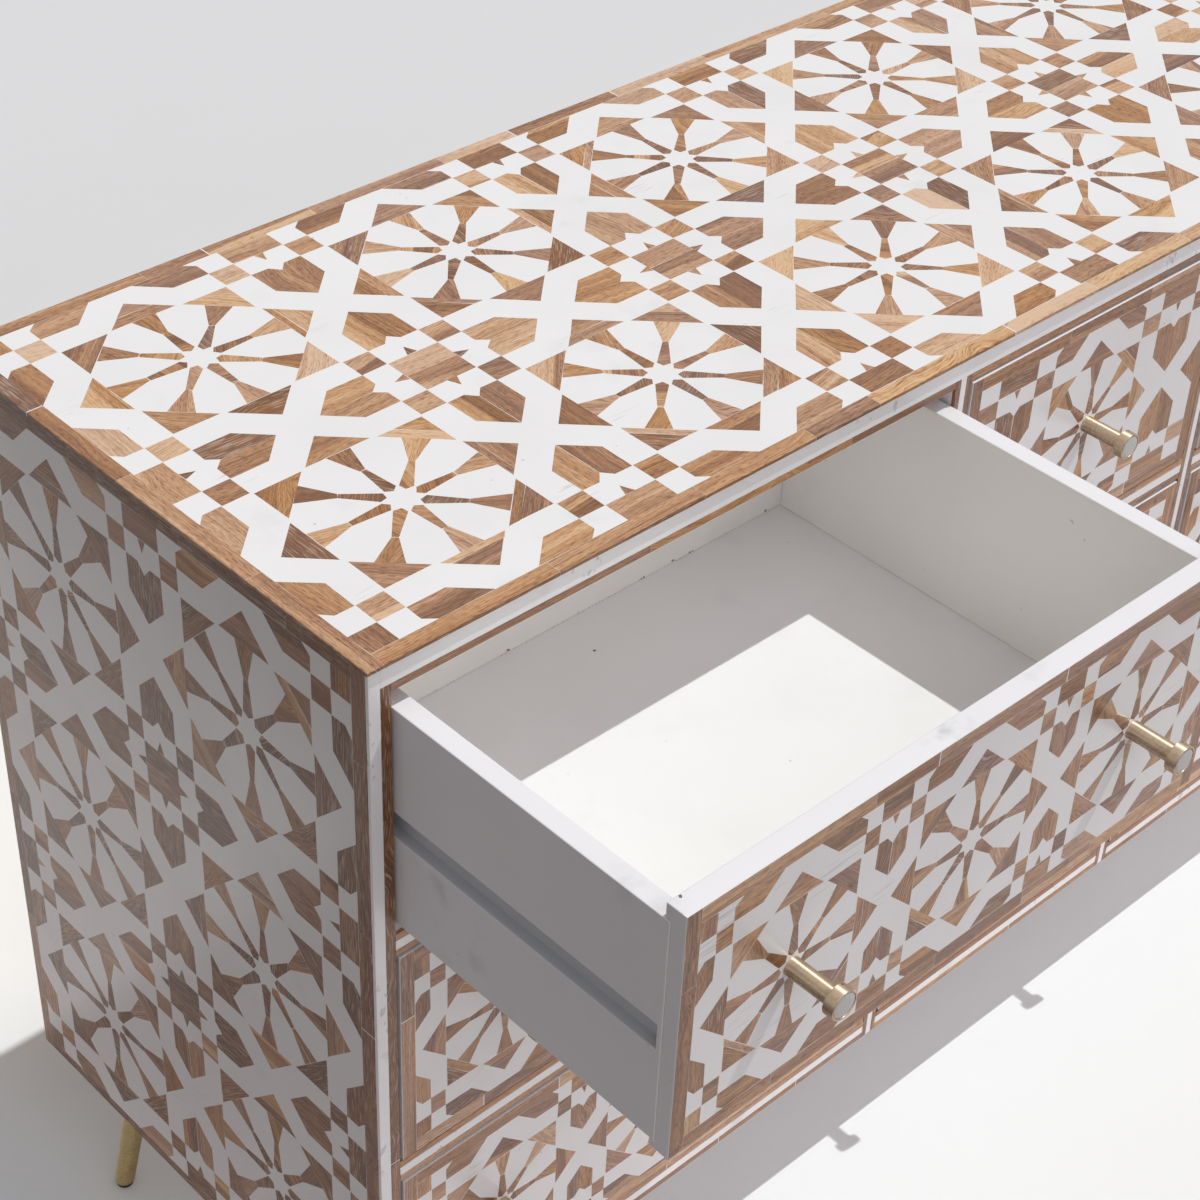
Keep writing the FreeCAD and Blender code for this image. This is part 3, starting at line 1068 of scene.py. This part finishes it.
class DresserFinish(bpy.types.PropertyGroup):
    """Colours of the woods, whites and metals."""

    darkest_wood: colour_property("Darkest wood", "Grain lines of the darkest pieces", (0.165, 0.080, 0.045))
    dark_wood: colour_property("Dark wood", "Heartwood", (0.265, 0.135, 0.076))
    brown_wood: colour_property("Brown wood", "Middle of the range", (0.405, 0.222, 0.126))
    tan_wood: colour_property("Tan wood", "Lighter pieces", (0.545, 0.335, 0.200))
    honey_wood: colour_property("Honey wood", "Lightest sapwood", (0.690, 0.490, 0.330))
    fleck: colour_property("Limed fleck", "Pale filler in the pores of dark wood", (0.62, 0.50, 0.40))
    inlay_white: colour_property("Inlay white", "White ground of the marquetry", (0.82, 0.815, 0.825))
    # Painted light: brighter than the inlay white, to lift the shade on the front edge bands
    brightened_band_white: colour_property("Band white", "White bands on the front edges", (0.90, 0.90, 0.91))
    white_paint: colour_property("White paint", "Boards and drawer bottoms", (0.907, 0.904, 0.904))
    # Painted light: a brighter, warmer copy of the white paint, to lift the shade inside the drawers
    wall_paint: colour_property("Wall paint", "Insides of the drawer walls", (0.968, 0.948, 0.915))
    # Painted shade: a greyer, cooler copy of the white paint for the drawers' outsides, with heavy smudges
    rubbed_paint: colour_property("Rubbed paint", "Outsides of the drawers", (0.820, 0.815, 0.845))
    # Painted shade in the runner grooves, darkest on the ledge
    groove_shade_colour: colour_property("Worn groove", "Ledge of a runner groove", (0.48, 0.51, 0.55))
    smudge: colour_property("Smudge", "Rubbed marks on white", (0.38, 0.37, 0.36))
    knob_brass: colour_property("Knob brass", "Pale brass of the knobs", (0.69, 0.545, 0.385))
    # Painted shade as well as tarnish: this colour also darkens the knobs' down-facing sides
    knob_tarnish_and_shade: colour_property("Tarnished knob", "Undersides of the knobs", (0.23, 0.16, 0.10))
    leg_brass: colour_property("Leg brass", "Yellower brass of the legs", (0.62, 0.50, 0.25))
    # Painted shade as well as tarnish: this colour also darkens the legs' down-facing sides
    leg_tarnish_and_shade: colour_property("Tarnished leg", "Dull patches on the legs", (0.30, 0.22, 0.10))
    disc: colour_property("Knob disc", "Insert in a knob's end", (0.60, 0.60, 0.59))


class DresserStage(bpy.types.PropertyGroup):
    """Floor, lights and camera."""

    camera_place: FloatVectorProperty(
        name="Camera place", description="Where the camera stands",
        default=(-1.3795, -1.1067, 1.7584), size=3, subtype="TRANSLATION", unit="LENGTH")
    camera_forward: direction_property(
        "Camera forward", "Direction in which the camera looks", (0.5568, 0.5641, -0.6097))
    camera_right: direction_property(
        "Camera right", "Direction to the right of the picture", (0.7305, -0.6819, 0.0362))
    lens: FloatProperty(
        name="Lens", description="Focal length on a 36 mm sensor", default=74.28, min=10.0, max=300.0)
    towards_key: direction_property("Towards key light", "Direction of the key light", (0.55, -0.172, 1.0))
    key_strength: strength_property("Key strength", "Key light on a surface that faces it", 2.16)
    key_spread: angle_property("Key spread", "Angle across the key light, which softens its shadows", 0.6)
    key_colour: colour_property("Key colour", "Colour of the key light", (0.975, 1.0, 0.985))
    towards_sky: direction_property("Towards soft light", "Direction of the broad light", (0.0, -1.0, 1.0))
    sky_strength: strength_property("Soft light strength", "Soft light on a surface that faces it", 0.76)
    sky_spread: angle_property("Soft light spread", "Angle across the soft light", 60)
    sky_colour: colour_property("Soft light colour", "Colour of the soft light", (0.965, 0.925, 1.0))
    fill_strength: strength_property("Fill strength", "Even light from all round", 0.307)
    fill_colour: colour_property("Fill colour", "Colour of the even light", (1.0, 0.934, 0.888))
    floor_colour: colour_property("Floor", "Pale floor as the camera sees it", (0.835, 0.85, 0.855))
    # Painted shade: the floor beside the dresser is drawn cooler, for the bluer shade there
    shade_tinted_floor: colour_property("Floor at the left", "Cooler floor beside the dresser", (0.822, 0.877, 0.915))
    bounce_colour: colour_property("Floor bounce", "Floor as it lights the dresser", (0.90, 0.86, 0.86))
    # Painted shade: the floor past its left and front edges, as bounce light and reflections see it
    dim_bounce_colour: colour_property("Room", "Dim room beyond the floor's edges", (0.10, 0.10, 0.10))
    backdrop_colour: colour_property("Backdrop", "Floor and air far behind", (0.685, 0.69, 0.71))


# Operators, one for each group of pieces

class DRESSER_OT_inlaid_top(bpy.types.Operator):
    """Lay the marquetry of the top"""

    bl_idname = "dresser.inlaid_top"
    bl_label = "Inlaid top"

    def execute(self, context):
        node = "top_marquetry"
        low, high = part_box(node)
        size = ((high.x - low.x) / MM, (high.y - low.y) / MM)
        borders = (TOP_BORDER,) * 4
        star, step = fitted_tiles(size, borders, TOP_TILES, TOP_STAR)
        lay_panel(Panel(
            name="inlaid_top", body="carcass", node=node,
            corner=(low.x, low.y, high.z), across=(1, 0, 0), up=(0, 1, 0),
            size=size, thickness=(high.z - low.z) / MM, edge=TOP_EDGE, borders=borders,
            tiles=TOP_TILES, star=star, step=step, strap=STRAP, spoke=TOP_SPOKE), TOP_SEED)
        return {"FINISHED"}


def fitted_tiles(size, borders, tiles, star_share):
    """Half-widths of the rosette's square and of the small squares, for whole tiles that fill the field."""
    left, right, below, above = borders
    half = Vector(((size[0] - left - right) / tiles[0] / 2, (size[1] - below - above) / tiles[1] / 2))
    star = half * star_share
    return star, (half - star) / 2


def lay_panel(panel, seed, white_edge=False, level_mix=BORDER, darker=0.0, spread=1.0):
    """Cut, lay and place a panel; spread draws its tones towards the middle one, and darker lowers them."""
    settings = bpy.context.scene.dresser_inlay
    rng = random.Random(seed)
    pieces = []
    for piece in field_pieces(rng, panel, settings) + border_pieces(rng, panel, settings, level_mix):
        tone = MIDDLE_TONE + (piece.tone - MIDDLE_TONE) * spread - darker
        pieces.append(piece._replace(tone=max(LOWEST_TONE, tone)))
    mesh = panel_mesh(panel, pieces, white_edge)
    materials = [finish_named(name) for name in ("inlay white", "inlay wood", "rubbed paint")]
    placed(panel.name, mesh, panel.body, [panel.node], materials)


class DRESSER_OT_inlaid_sides(bpy.types.Operator):
    """Lay the marquetry of both sides"""

    bl_idname = "dresser.inlaid_sides"
    bl_label = "Inlaid sides"

    def execute(self, context):
        node = "side_marquetry"
        low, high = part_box(node)
        inner_x = max(v.co.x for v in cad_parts[node].data.vertices if v.co.x < high.x - MM)
        size = ((high.y - low.y) / MM, (high.z - low.z) / MM)
        levels = (SIDE_LOWER_BORDER, SIDE_UPPER_BORDER)
        for name, seed in SIDE_SEEDS.items():
            if name == "left":
                corner, across = (low.x, high.y, low.z), (0, -1, 0)
                borders = (SIDE_BACK_BORDER, SIDE_FRONT_BORDER, *levels)
            else:
                corner, across = (high.x, low.y, low.z), (0, 1, 0)
                borders = (SIDE_FRONT_BORDER, SIDE_BACK_BORDER, *levels)
            star, step = fitted_tiles(size, borders, SIDE_TILES, SIDE_STAR)
            panel = Panel(
                name="inlaid_side_" + name, body="carcass", node=node,
                corner=corner, across=across, up=(0, 0, 1),
                size=size, thickness=(high.x - inner_x) / MM, edge=SIDE_EDGE, borders=borders,
                tiles=SIDE_TILES, star=star, step=step, strap=STRAP, spoke=SIDE_SPOKE)
            lay_panel(panel, seed, level_mix=SHADED_BORDER, darker=SIDE_DARKER)
        return {"FINISHED"}


class DRESSER_OT_inlaid_fronts(bpy.types.Operator):
    """Lay the marquetry of the nine drawer fronts"""

    bl_idname = "dresser.inlaid_fronts"
    bl_label = "Inlaid fronts"

    def execute(self, context):
        star = Vector((FRONT_STAR_HALF, FRONT_STAR_HALF))
        for index, drawer in enumerate(DRAWERS):
            node = "drawer_" + drawer + "_face"
            low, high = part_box(node)
            size = ((high.x - low.x) / MM, (high.z - low.z) / MM)
            field = (size[0] - 2 * FRONT_BORDER, size[1] - 2 * FRONT_BORDER)
            upright_step = (field[1] / 2 - FRONT_STAR_HALF) / 2
            if drawer.endswith("centre"):
                side_step = (field[0] / 2 - FRONT_STAR_HALF) / 4
                strap = NARROW_STRAP
            else:
                side_step = (field[0] / 6 - FRONT_STAR_HALF) / 2
                strap = STRAP
            panel = Panel(
                name="inlaid_front_" + drawer, body="drawer_" + drawer, node=node,
                corner=(low.x, low.y, low.z), across=(1, 0, 0), up=(0, 0, 1),
                size=size, thickness=(high.y - low.y) / MM, edge=FRONT_EDGE, borders=(FRONT_BORDER,) * 4,
                tiles=FRONT_TILES, star=star, step=Vector((side_step, upright_step)), strap=strap,
                spoke=FRONT_SPOKE)
            lay_panel(panel, FRONT_SEED + FRONT_SEED_STEP * index, white_edge=True,
                      darker=FRONT_DARKER, spread=FRONT_TONE_SPREAD)
        return {"FINISHED"}


class DRESSER_OT_edge_lines(bpy.types.Operator):
    """Set the white bands and the wooden strips into the front edges"""

    bl_idname = "dresser.edge_lines"
    bl_label = "Front edge bands and strips"

    def execute(self, context):
        bands = eased_copy("white_edge_bands", STRIP_EASE)
        placed("edge_bands", bands, "carcass", ["white_edge_bands"],
               [finish_named("scuffed white")])
        rng = random.Random(STRIP_SEED)
        whole = bmesh.new()
        owners = []
        for faces in solids_of("wood_edge_strips"):
            low, high = extent(faces)
            axis = max(range(3), key=lambda i: high[i] - low[i])
            start = low[axis]
            while start < high[axis] - MM:
                stop = start + rng.uniform(*STRIP_LENGTHS)
                if high[axis] - stop < SHORTEST_STRIP:
                    stop = high[axis]
                joint = rng.choice(STRIP_JOINTS) if stop < high[axis] else 0.0
                tone = choose_tone(rng, UPRIGHT_STRIPS if axis == 2 else SIDE_BORDER)
                strip = Piece(None, axis, tone, 0.0, rng.random())
                parts = [(start, stop - joint, STRIP_EASE, strip)]
                if joint:
                    parts.append((stop - joint, stop, JOINT_EASE, None))
                for first, last, ease, owner in parts:
                    near, far = low.copy(), high.copy()
                    near[axis], far[axis] = first, last
                    before = len(whole.faces)
                    add_solid(whole, box_faces(near, far), ease)
                    owners += [owner] * (len(whole.faces) - before)
                start = stop
        mesh = mesh_of("edge_strips", whole)

        def grain_place(strip, corner):
            place = mesh.vertices[corner].co
            return place[strip.grain], sum(place) - place[strip.grain] + strip.seed

        mark_wood(mesh, owners, grain_place)
        placed("edge_strips", mesh, "carcass", ["wood_edge_strips"],
               [finish_named("inlay white"), finish_named("inlay wood")])
        return {"FINISHED"}


class DRESSER_OT_carcass(bpy.types.Operator):
    """Paint the boards of the carcass and finish its back and runners"""

    bl_idname = "dresser.carcass"
    bl_label = "Carcass boards"

    def execute(self, context):
        ease = context.scene.dresser_inlay.eased_edge
        boards = {
            "top_board": "white paint",
            "side_boards": "white paint",
            "bottom_board": "white paint",
            "partitions": "white paint",
            "front_rails": "white paint",
            "back_panel": "plywood back",
            "runners": "runner wood",
        }
        for node, finish in boards.items():
            mesh = eased_copy(node, ease)
            placed("eased_" + node, mesh, "carcass", [node], [finish_named(finish)])
        return {"FINISHED"}


class DRESSER_OT_drawer_boxes(bpy.types.Operator):
    """Paint the nine drawers: front boards, sides and backs, and bottoms"""

    bl_idname = "dresser.drawer_boxes"
    bl_label = "Drawer boxes"

    def execute(self, context):
        ease = context.scene.dresser_inlay.eased_edge
        for drawer in DRAWERS:
            body = "drawer_" + drawer
            for part in ("front", "box", "bottom"):
                node = body + "_" + part
                low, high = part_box(node)
                covered_y = low.y if part == "front" else None
                marks = OPEN_DRAWER_MARKS.get(part) if drawer == OPEN_DRAWER else None
                mesh = eased_copy(node, ease, covered_y, marks)
                if part != "bottom":
                    mark_outside(mesh, low, high)
                # The drawers' walls take the brighter paint as painted light
                inside = "white paint" if part == "bottom" else "wall paint"
                placed("eased_" + node, mesh, body, [node],
                       [finish_named(inside), finish_named("rubbed paint"), finish_named("seam stain")])
        return {"FINISHED"}


def add_spot(target, place, facing, size, sides):
    """A thin brown spot let into a surface."""
    sunk, proud = -0.2 * MM, 0.08 * MM
    outline = [(0, sunk), (size, sunk), (size, 0), (0.6 * size, proud), (0, proud)]
    turned(target, outline, place, facing, sides, 2)


def add_pin_marks(target, node):
    """Brown stains of pins along the foot of a drawer's back, and a row of specks in the seam there."""
    low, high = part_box(node)
    rng = random.Random(PIN_SEED)
    back_inset, wall, end_margin = 10 * MM, 15 * MM, 18 * MM
    face_y = high.y - back_inset - wall
    foot_z = low.z + 26.5 * MM
    facing = (0.1, -1, 0.1)
    for share in (0.14, 0.19, 0.42, 0.68, 0.74, 0.78, 0.94):
        pin = Vector((low.x + (high.x - low.x) * share, face_y, foot_z + rng.uniform(0.4, 1.4) * MM))
        for _ in range(4):
            stray = Vector((rng.uniform(-2.2, 2.2), 0, rng.uniform(-0.5, 0.9))) * MM
            add_spot(target, pin + stray, facing, rng.uniform(0.4, 1.1) * MM, 7)
    x = low.x + end_margin
    while x < high.x - end_margin:
        speck = Vector((x, face_y, foot_z + rng.uniform(0.0, 0.5) * MM))
        add_spot(target, speck, facing, rng.uniform(0.12, 0.42) * MM, 5)
        x += rng.uniform(1.0, 5.0) * MM


def add_floor_dot(target, node):
    """One pin's head that shows in a drawer's floor."""
    low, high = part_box(node)
    across, back = 0.516, 0.84
    place = Vector((low.x + (high.x - low.x) * across, low.y + (high.y - low.y) * back, high.z))
    add_spot(target, place, (0, 0, 1), 1.2 * MM, 7)


def add_gap_shade(target, node):
    """A brown spot on a drawer front's upper edge, beside the drawer's side: painted shade of a small gap at
    the joint.
    """
    low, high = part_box(node)
    add_spot(target, Vector((low.x + 9 * MM, high.y - 2.2 * MM, high.z)), (0.12, -0.1, 1), 1.6 * MM, 5)


OPEN_DRAWER_MARKS = {"box": add_pin_marks, "front": add_gap_shade, "bottom": add_floor_dot}


def mark_outside(mesh, low, high):
    """Give a drawer's outer faces and upper edges the second finish, and paint shade into its grooves: full
    on the ledge, fading up the wall.
    """
    groove_reach, groove_wall, groove_margin, edge_band = 9 * MM, 4 * MM, 30 * MM, 2 * MM
    middle = (low.x + high.x) / 2
    wear = []
    for polygon in mesh.polygons:
        place, normal = polygon.center, polygon.normal
        outward = normal.x * (1 if place.x > middle else -1)
        from_edge = min(place.x - low.x, high.x - place.x)
        inset = from_edge < groove_reach and low.z + groove_margin < place.z < high.z - groove_margin
        ledge = inset and normal.z > 0.5
        wall = inset and outward > 0.5 and from_edge > groove_wall
        upper_edge = normal.z > 0.5 and place.z > high.z - edge_band and polygon.material_index == 0
        # The second finish is a smudged paint drawn greyer and cooler as painted shade
        if outward > 0.5 or ledge or upper_edge:
            polygon.material_index = 1
        # Painted shade: the ledge gets it in full, the groove's wall fades from its foot to its top
        heights = [mesh.vertices[i].co.z for i in polygon.vertices]
        for height in heights:
            share = (height - min(heights)) / max(max(heights) - min(heights), MM)
            wear.append(1.0 if ledge else 0.75 * (1 - share) if wall else 0.0)
    mesh.attributes.new("wear", "FLOAT", "CORNER")
    mesh.attributes["wear"].data.foreach_set("value", wear)


class DRESSER_OT_knobs(bpy.types.Operator):
    """Turn the brass knobs, each with a rimmed head and a pale disc let into its end"""

    bl_idname = "dresser.knobs"
    bl_label = "Knobs"

    def execute(self, context):
        for drawer in DRAWERS:
            body = "drawer_" + drawer
            node = body + "_knobs"
            whole = bmesh.new()
            for faces in solids_of(node):
                low, high = extent(faces)
                middle = (low + high) / 2
                seat = Vector((middle.x, high.y, middle.z))
                places = [Vector(place) for face in faces for place in face]
                stem = min({round((p - seat).xz.length, 4) for p in places} - {0.0})
                on_stem = [p for p in places if (p - seat).xz.length < stem + 0.2 * MM and p.y > low.y + MM]
                neck = high.y - min(p.y for p in on_stem)
                add_knob(whole, seat, stem, neck, (high.x - low.x) / 2, high.y - low.y)
            finishes = [finish_named(name) for name in ("knob brass", "pale disc", "dark steel")]
            placed("turned_" + node, mesh_of(node + "_turned", whole), body, [node],
                   finishes, True)
        return {"FINISHED"}


def add_knob(target, seat, stem, neck, head, length):
    """One knob: stem, neck line, head with rounded rims, sunk end and disc, and a small grub screw."""
    soft, rim, sink, line = 0.22 * MM, 1.5 * MM, 0.6 * MM, 0.6 * MM
    outward, sides = (0, -1, 0), 48
    body = [
        (0, 0), (stem - soft, 0), (stem, soft), (stem, 2 * soft),
        (stem, neck - 1.0 * MM), (stem, neck - 0.8 * MM),
        (stem - line, neck - 0.5 * MM), (stem - line, neck - 0.1 * MM), (stem, neck),
        (head - 2 * soft, neck), (head - 0.6 * soft, neck + 0.6 * soft), (head, neck + 2 * soft),
        (head, neck + 3 * soft), (head, length - 3 * soft),
        (head, length - 2 * soft), (head - 0.6 * soft, length - 0.6 * soft), (head - 2 * soft, length),
        (head - rim, length), (head - rim - 0.2 * MM, length - sink), (0, length - sink),
    ]
    turned(target, body, seat, outward, sides)
    disc = head - rim - 0.4 * MM
    face = [
        (0, length - sink - 0.4 * MM), (disc, length - sink - 0.4 * MM), (disc, length - 0.30 * MM),
        (disc - 0.4 * MM, length - 0.12 * MM), (disc * 0.6, length - 0.04 * MM), (0, length - 0.02 * MM),
    ]
    turned(target, face, seat, outward, sides, 1)
    screw = [(0, -1 * MM), (0.9 * MM, -1 * MM), (0.9 * MM, -0.1 * MM), (0.6 * MM, 0.05 * MM), (0, 0.05 * MM)]
    slant = 0.35
    facing = Vector((math.sin(slant), 0, math.cos(slant)))
    turned(target, screw, seat + Vector((0, -neck - 1.5 * MM, 0)) + facing * head, facing, 16, 2)


class DRESSER_OT_legs(bpy.types.Operator):
    """Make the brass legs, their plates and screws, and their pads"""

    bl_idname = "dresser.legs"
    bl_label = "Legs"

    def execute(self, context):
        for name, node, add, finish in (
            ("tapered_legs", "legs", add_leg, "leg brass"),
            ("screwed_plates", "leg_plates", add_plate, "dark steel"),
            ("rubber_pads", "foot_pads", add_pad, "black rubber"),
        ):
            whole = bmesh.new()
            for faces in solids_of(node):
                add(whole, faces)
            placed(name, mesh_of(name, whole), "carcass", [node], [finish_named(finish)], True)
        return {"FINISHED"}


def ring_at(faces, level):
    """Middle and mean radius of a leg's end at a given height."""
    ends = {p for face in faces for p in face if abs(p[2] - level) < 1e-5}
    middle = sum((Vector(p) for p in ends), Vector()) / len(ends)
    radius = sum((Vector(p) - middle).length for p in ends) / len(ends)
    return middle, radius


def add_leg(target, faces):
    """A slanted, tapered leg cut level at both ends, with its foot edge rounded."""
    low, high = extent(faces)
    top, top_radius = ring_at(faces, high.z)
    foot, foot_radius = ring_at(faces, low.z)
    sides, soft = 40, 0.8 * MM
    heights = (1.0, 0.985, 0.75, 0.5, 0.25, 0.012, 0.004, 0.0)
    rounding = {0.004: 0.3, 0.0: 1.0}
    part = bmesh.new()
    lathe = part.loops.layers.uv.new("lathe")
    axis = (top - foot).normalized()
    rings = []
    for share in heights:
        middle = foot.lerp(top, share)
        radius = foot_radius + (top_radius - foot_radius) * share - soft * rounding.get(share, 0.0)
        ring = []
        for i in range(sides):
            t = 2 * math.pi * i / sides
            ring.append(part.verts.new(middle + Vector((math.cos(t), math.sin(t), 0)) * radius))
        rings.append(ring)
    for above, below in zip(rings, rings[1:]):
        for i in range(sides):
            j = (i + 1) % sides
            part.faces.new([above[i], below[i], below[j], above[j]])
    part.faces.new(rings[0])
    part.faces.new(list(reversed(rings[-1])))
    for face in part.faces:
        lay_lathe_map(face, lathe, foot, axis, axis.orthogonal().normalized())
    join(target, part)


def add_plate(target, faces):
    """A fixing plate with four countersunk screw heads on its lower face."""
    add_solid(target, faces, 0.3 * MM)
    low, high = extent(faces)
    middle = (low + high) / 2
    reach = (high.x - low.x) / 2 - 9 * MM
    sunk, wide, crown = -0.5 * MM, 3.4 * MM, 2.6 * MM
    head = [(0, sunk), (wide, sunk), (wide, 0.2 * MM), (crown, 0.8 * MM), (0, 1.0 * MM)]
    for sx in (-1, 1):
        for sy in (-1, 1):
            place = Vector((middle.x + sx * reach, middle.y + sy * reach, low.z))
            turned(target, head, place, (0, 0, -1), 20)


def add_pad(target, faces):
    """A rubber pad with eased edges."""
    add_solid(target, faces, 0.8 * MM)


class DRESSER_OT_stage(bpy.types.Operator):
    """Set up the floor, the light and the camera"""

    bl_idname = "dresser.stage"
    bl_label = "Stage"

    def execute(self, context):
        scene = context.scene
        stage = scene.dresser_stage
        floor = bpy.data.meshes.new("floor")
        corners = box_outline(-FLOOR_REACH, -FLOOR_REACH, FLOOR_REACH, FLOOR_REACH)
        floor.from_pydata([(p.x, p.y, 0) for p in corners], [], [(0, 1, 2, 3)])
        floor.materials.append(floor_finish(stage))
        ground = bpy.data.objects.new("floor", floor)
        scene.collection.objects.link(ground)
        add_lamp(scene, "key", stage.towards_key, stage.key_strength, stage.key_spread, stage.key_colour)
        add_lamp(scene, "sky", stage.towards_sky, stage.sky_strength, stage.sky_spread, stage.sky_colour)
        scene.world = fill_light(stage)
        add_camera(scene, stage)
        scene.view_settings.view_transform = "Standard"
        return {"FINISHED"}


def floor_finish(stage):
    """A pale floor that greys far behind as painted shade; past its left and front edges it is dark to bounce
    light and reflections, also as painted shade.
    """
    material, w, shader = shell_material("pale floor")
    x, y, _ = w.parts(w.object_place())
    painted_light_patch = w.times(w.smooth(y, *PAINTED_LIGHT_FROM), w.smooth(y, *PAINTED_LIGHT_TO))
    even = w.blend(painted_light_patch, opaque(stage.floor_colour), (1, 1, 1, 1))
    shade_tinted = w.blend(w.smooth(x, *SHADE_TINT_FROM), even, opaque(stage.shade_tinted_floor))
    # Painted shade: far behind, the floor greys towards the backdrop colour
    far = w.blend(w.smooth(y, *PAINTED_FALLOFF_FROM), shade_tinted, opaque(stage.backdrop_colour))
    cloud = w.noise(w.place(x, y, 0.0), 5.0, 3.0)
    pale = w.blend(w.times(cloud, 0.06), far, (0.5, 0.5, 0.5, 1))
    # Painted shade: past the left and front edges, bounce light and reflections see a dark floor
    left = w.smooth(w.math("ADD", x, w.times(y, DIM_BOUNCE_SLANT)), *DIM_BOUNCE_LEFT)
    dim_zone = w.math("MAXIMUM", left, w.smooth(y, *DIM_BOUNCE_FRONT))
    dim = w.blend(dim_zone, opaque(stage.bounce_colour), opaque(stage.dim_bounce_colour))
    path = w.add("ShaderNodeLightPath").outputs
    seen = w.math("MAXIMUM", path["Is Camera Ray"], path["Is Transmission Ray"])
    w.feed(shader["Base Color"], w.blend(seen, dim, pale))
    shader["Roughness"].default_value = 0.9
    shader["Specular IOR Level"].default_value = 0.1
    return material


def add_lamp(scene, name, direction, strength, spread, colour):
    """A lamp far away in a direction, so that it lights the floor evenly."""
    lamp = bpy.data.lights.new(name, "SUN")
    lamp.energy = strength
    lamp.angle = spread
    lamp.color = colour
    holder = bpy.data.objects.new(name, lamp)
    scene.collection.objects.link(holder)
    holder.rotation_mode = "QUATERNION"
    holder.rotation_quaternion = Vector(direction).to_track_quat("Z", "Y")
    holder.location = Vector(direction).normalized() * 4


def fill_light(stage):
    """Even light from all round, which a camera and reflections see as a plain pale backdrop."""
    world = bpy.data.worlds.new("fill")
    world.use_nodes = True
    tree = world.node_tree
    tree.nodes.clear()
    w = Wiring(tree)
    fill = w.add("ShaderNodeBackground")
    fill.inputs["Color"].default_value = opaque(stage.fill_colour)
    fill.inputs["Strength"].default_value = stage.fill_strength
    seen = w.add("ShaderNodeBackground")
    seen.inputs["Color"].default_value = opaque(stage.backdrop_colour)
    path = w.add("ShaderNodeLightPath").outputs
    direct = w.math("MAXIMUM", path["Is Camera Ray"], path["Is Transmission Ray"])
    either = w.add("ShaderNodeMixShader")
    w.feed(either.inputs[0], w.math("MAXIMUM", direct, path["Is Glossy Ray"]))
    w.feed(either.inputs[1], fill.outputs[0])
    w.feed(either.inputs[2], seen.outputs[0])
    output = w.add("ShaderNodeOutputWorld")
    w.feed(output.inputs["Surface"], either.outputs[0])
    return world


def add_camera(scene, stage):
    """A camera at the photograph's place, turned to its viewing angle."""
    lens = bpy.data.cameras.new("camera")
    lens.sensor_width = 36.0
    lens.lens = stage.lens
    lens.clip_start = 0.05
    lens.clip_end = 200.0
    camera = bpy.data.objects.new("camera", lens)
    scene.collection.objects.link(camera)
    back = -Vector(stage.camera_forward).normalized()
    right = Vector(stage.camera_right).normalized()
    up = back.cross(right).normalized()
    right = up.cross(back)
    turn = Matrix((right, up, back)).transposed()
    camera.matrix_world = Matrix.Translation(Vector(stage.camera_place)) @ turn.to_4x4()
    scene.camera = camera


class DRESSER_PT_panel(bpy.types.Panel):
    """The dresser's pieces, sizes and colours"""

    bl_idname = "DRESSER_PT_panel"
    bl_label = "Inlaid dresser"
    bl_space_type = "VIEW_3D"
    bl_region_type = "UI"
    bl_category = "Dresser"

    def draw(self, context):
        for operator in OPERATORS:
            self.layout.operator(operator.bl_idname)
        for name in POINTERS:
            settings = getattr(context.scene, name)
            box = self.layout.box()
            for field in settings.__annotations__:
                box.prop(settings, field)


OPERATORS = (
    DRESSER_OT_inlaid_top,
    DRESSER_OT_inlaid_sides,
    DRESSER_OT_inlaid_fronts,
    DRESSER_OT_edge_lines,
    DRESSER_OT_carcass,
    DRESSER_OT_drawer_boxes,
    DRESSER_OT_knobs,
    DRESSER_OT_legs,
    DRESSER_OT_stage,
)
POINTERS = {
    "dresser_inlay": DresserInlay,
    "dresser_finish": DresserFinish,
    "dresser_stage": DresserStage,
}
CLASSES = (*POINTERS.values(), *OPERATORS, DRESSER_PT_panel)


def register():
    for kind in CLASSES:
        bpy.utils.register_class(kind)
    for name, kind in POINTERS.items():
        setattr(bpy.types.Scene, name, PointerProperty(type=kind))


def unregister():
    for name in POINTERS:
        delattr(bpy.types.Scene, name)
    for kind in reversed(CLASSES):
        bpy.utils.unregister_class(kind)


def main():
    register()
    bpy.ops.dresser.inlaid_top()
    bpy.ops.dresser.inlaid_sides()
    bpy.ops.dresser.inlaid_fronts()
    bpy.ops.dresser.edge_lines()
    bpy.ops.dresser.carcass()
    bpy.ops.dresser.drawer_boxes()
    bpy.ops.dresser.knobs()
    bpy.ops.dresser.legs()
    bpy.ops.dresser.stage()


if __name__ == "__main__":
    main()
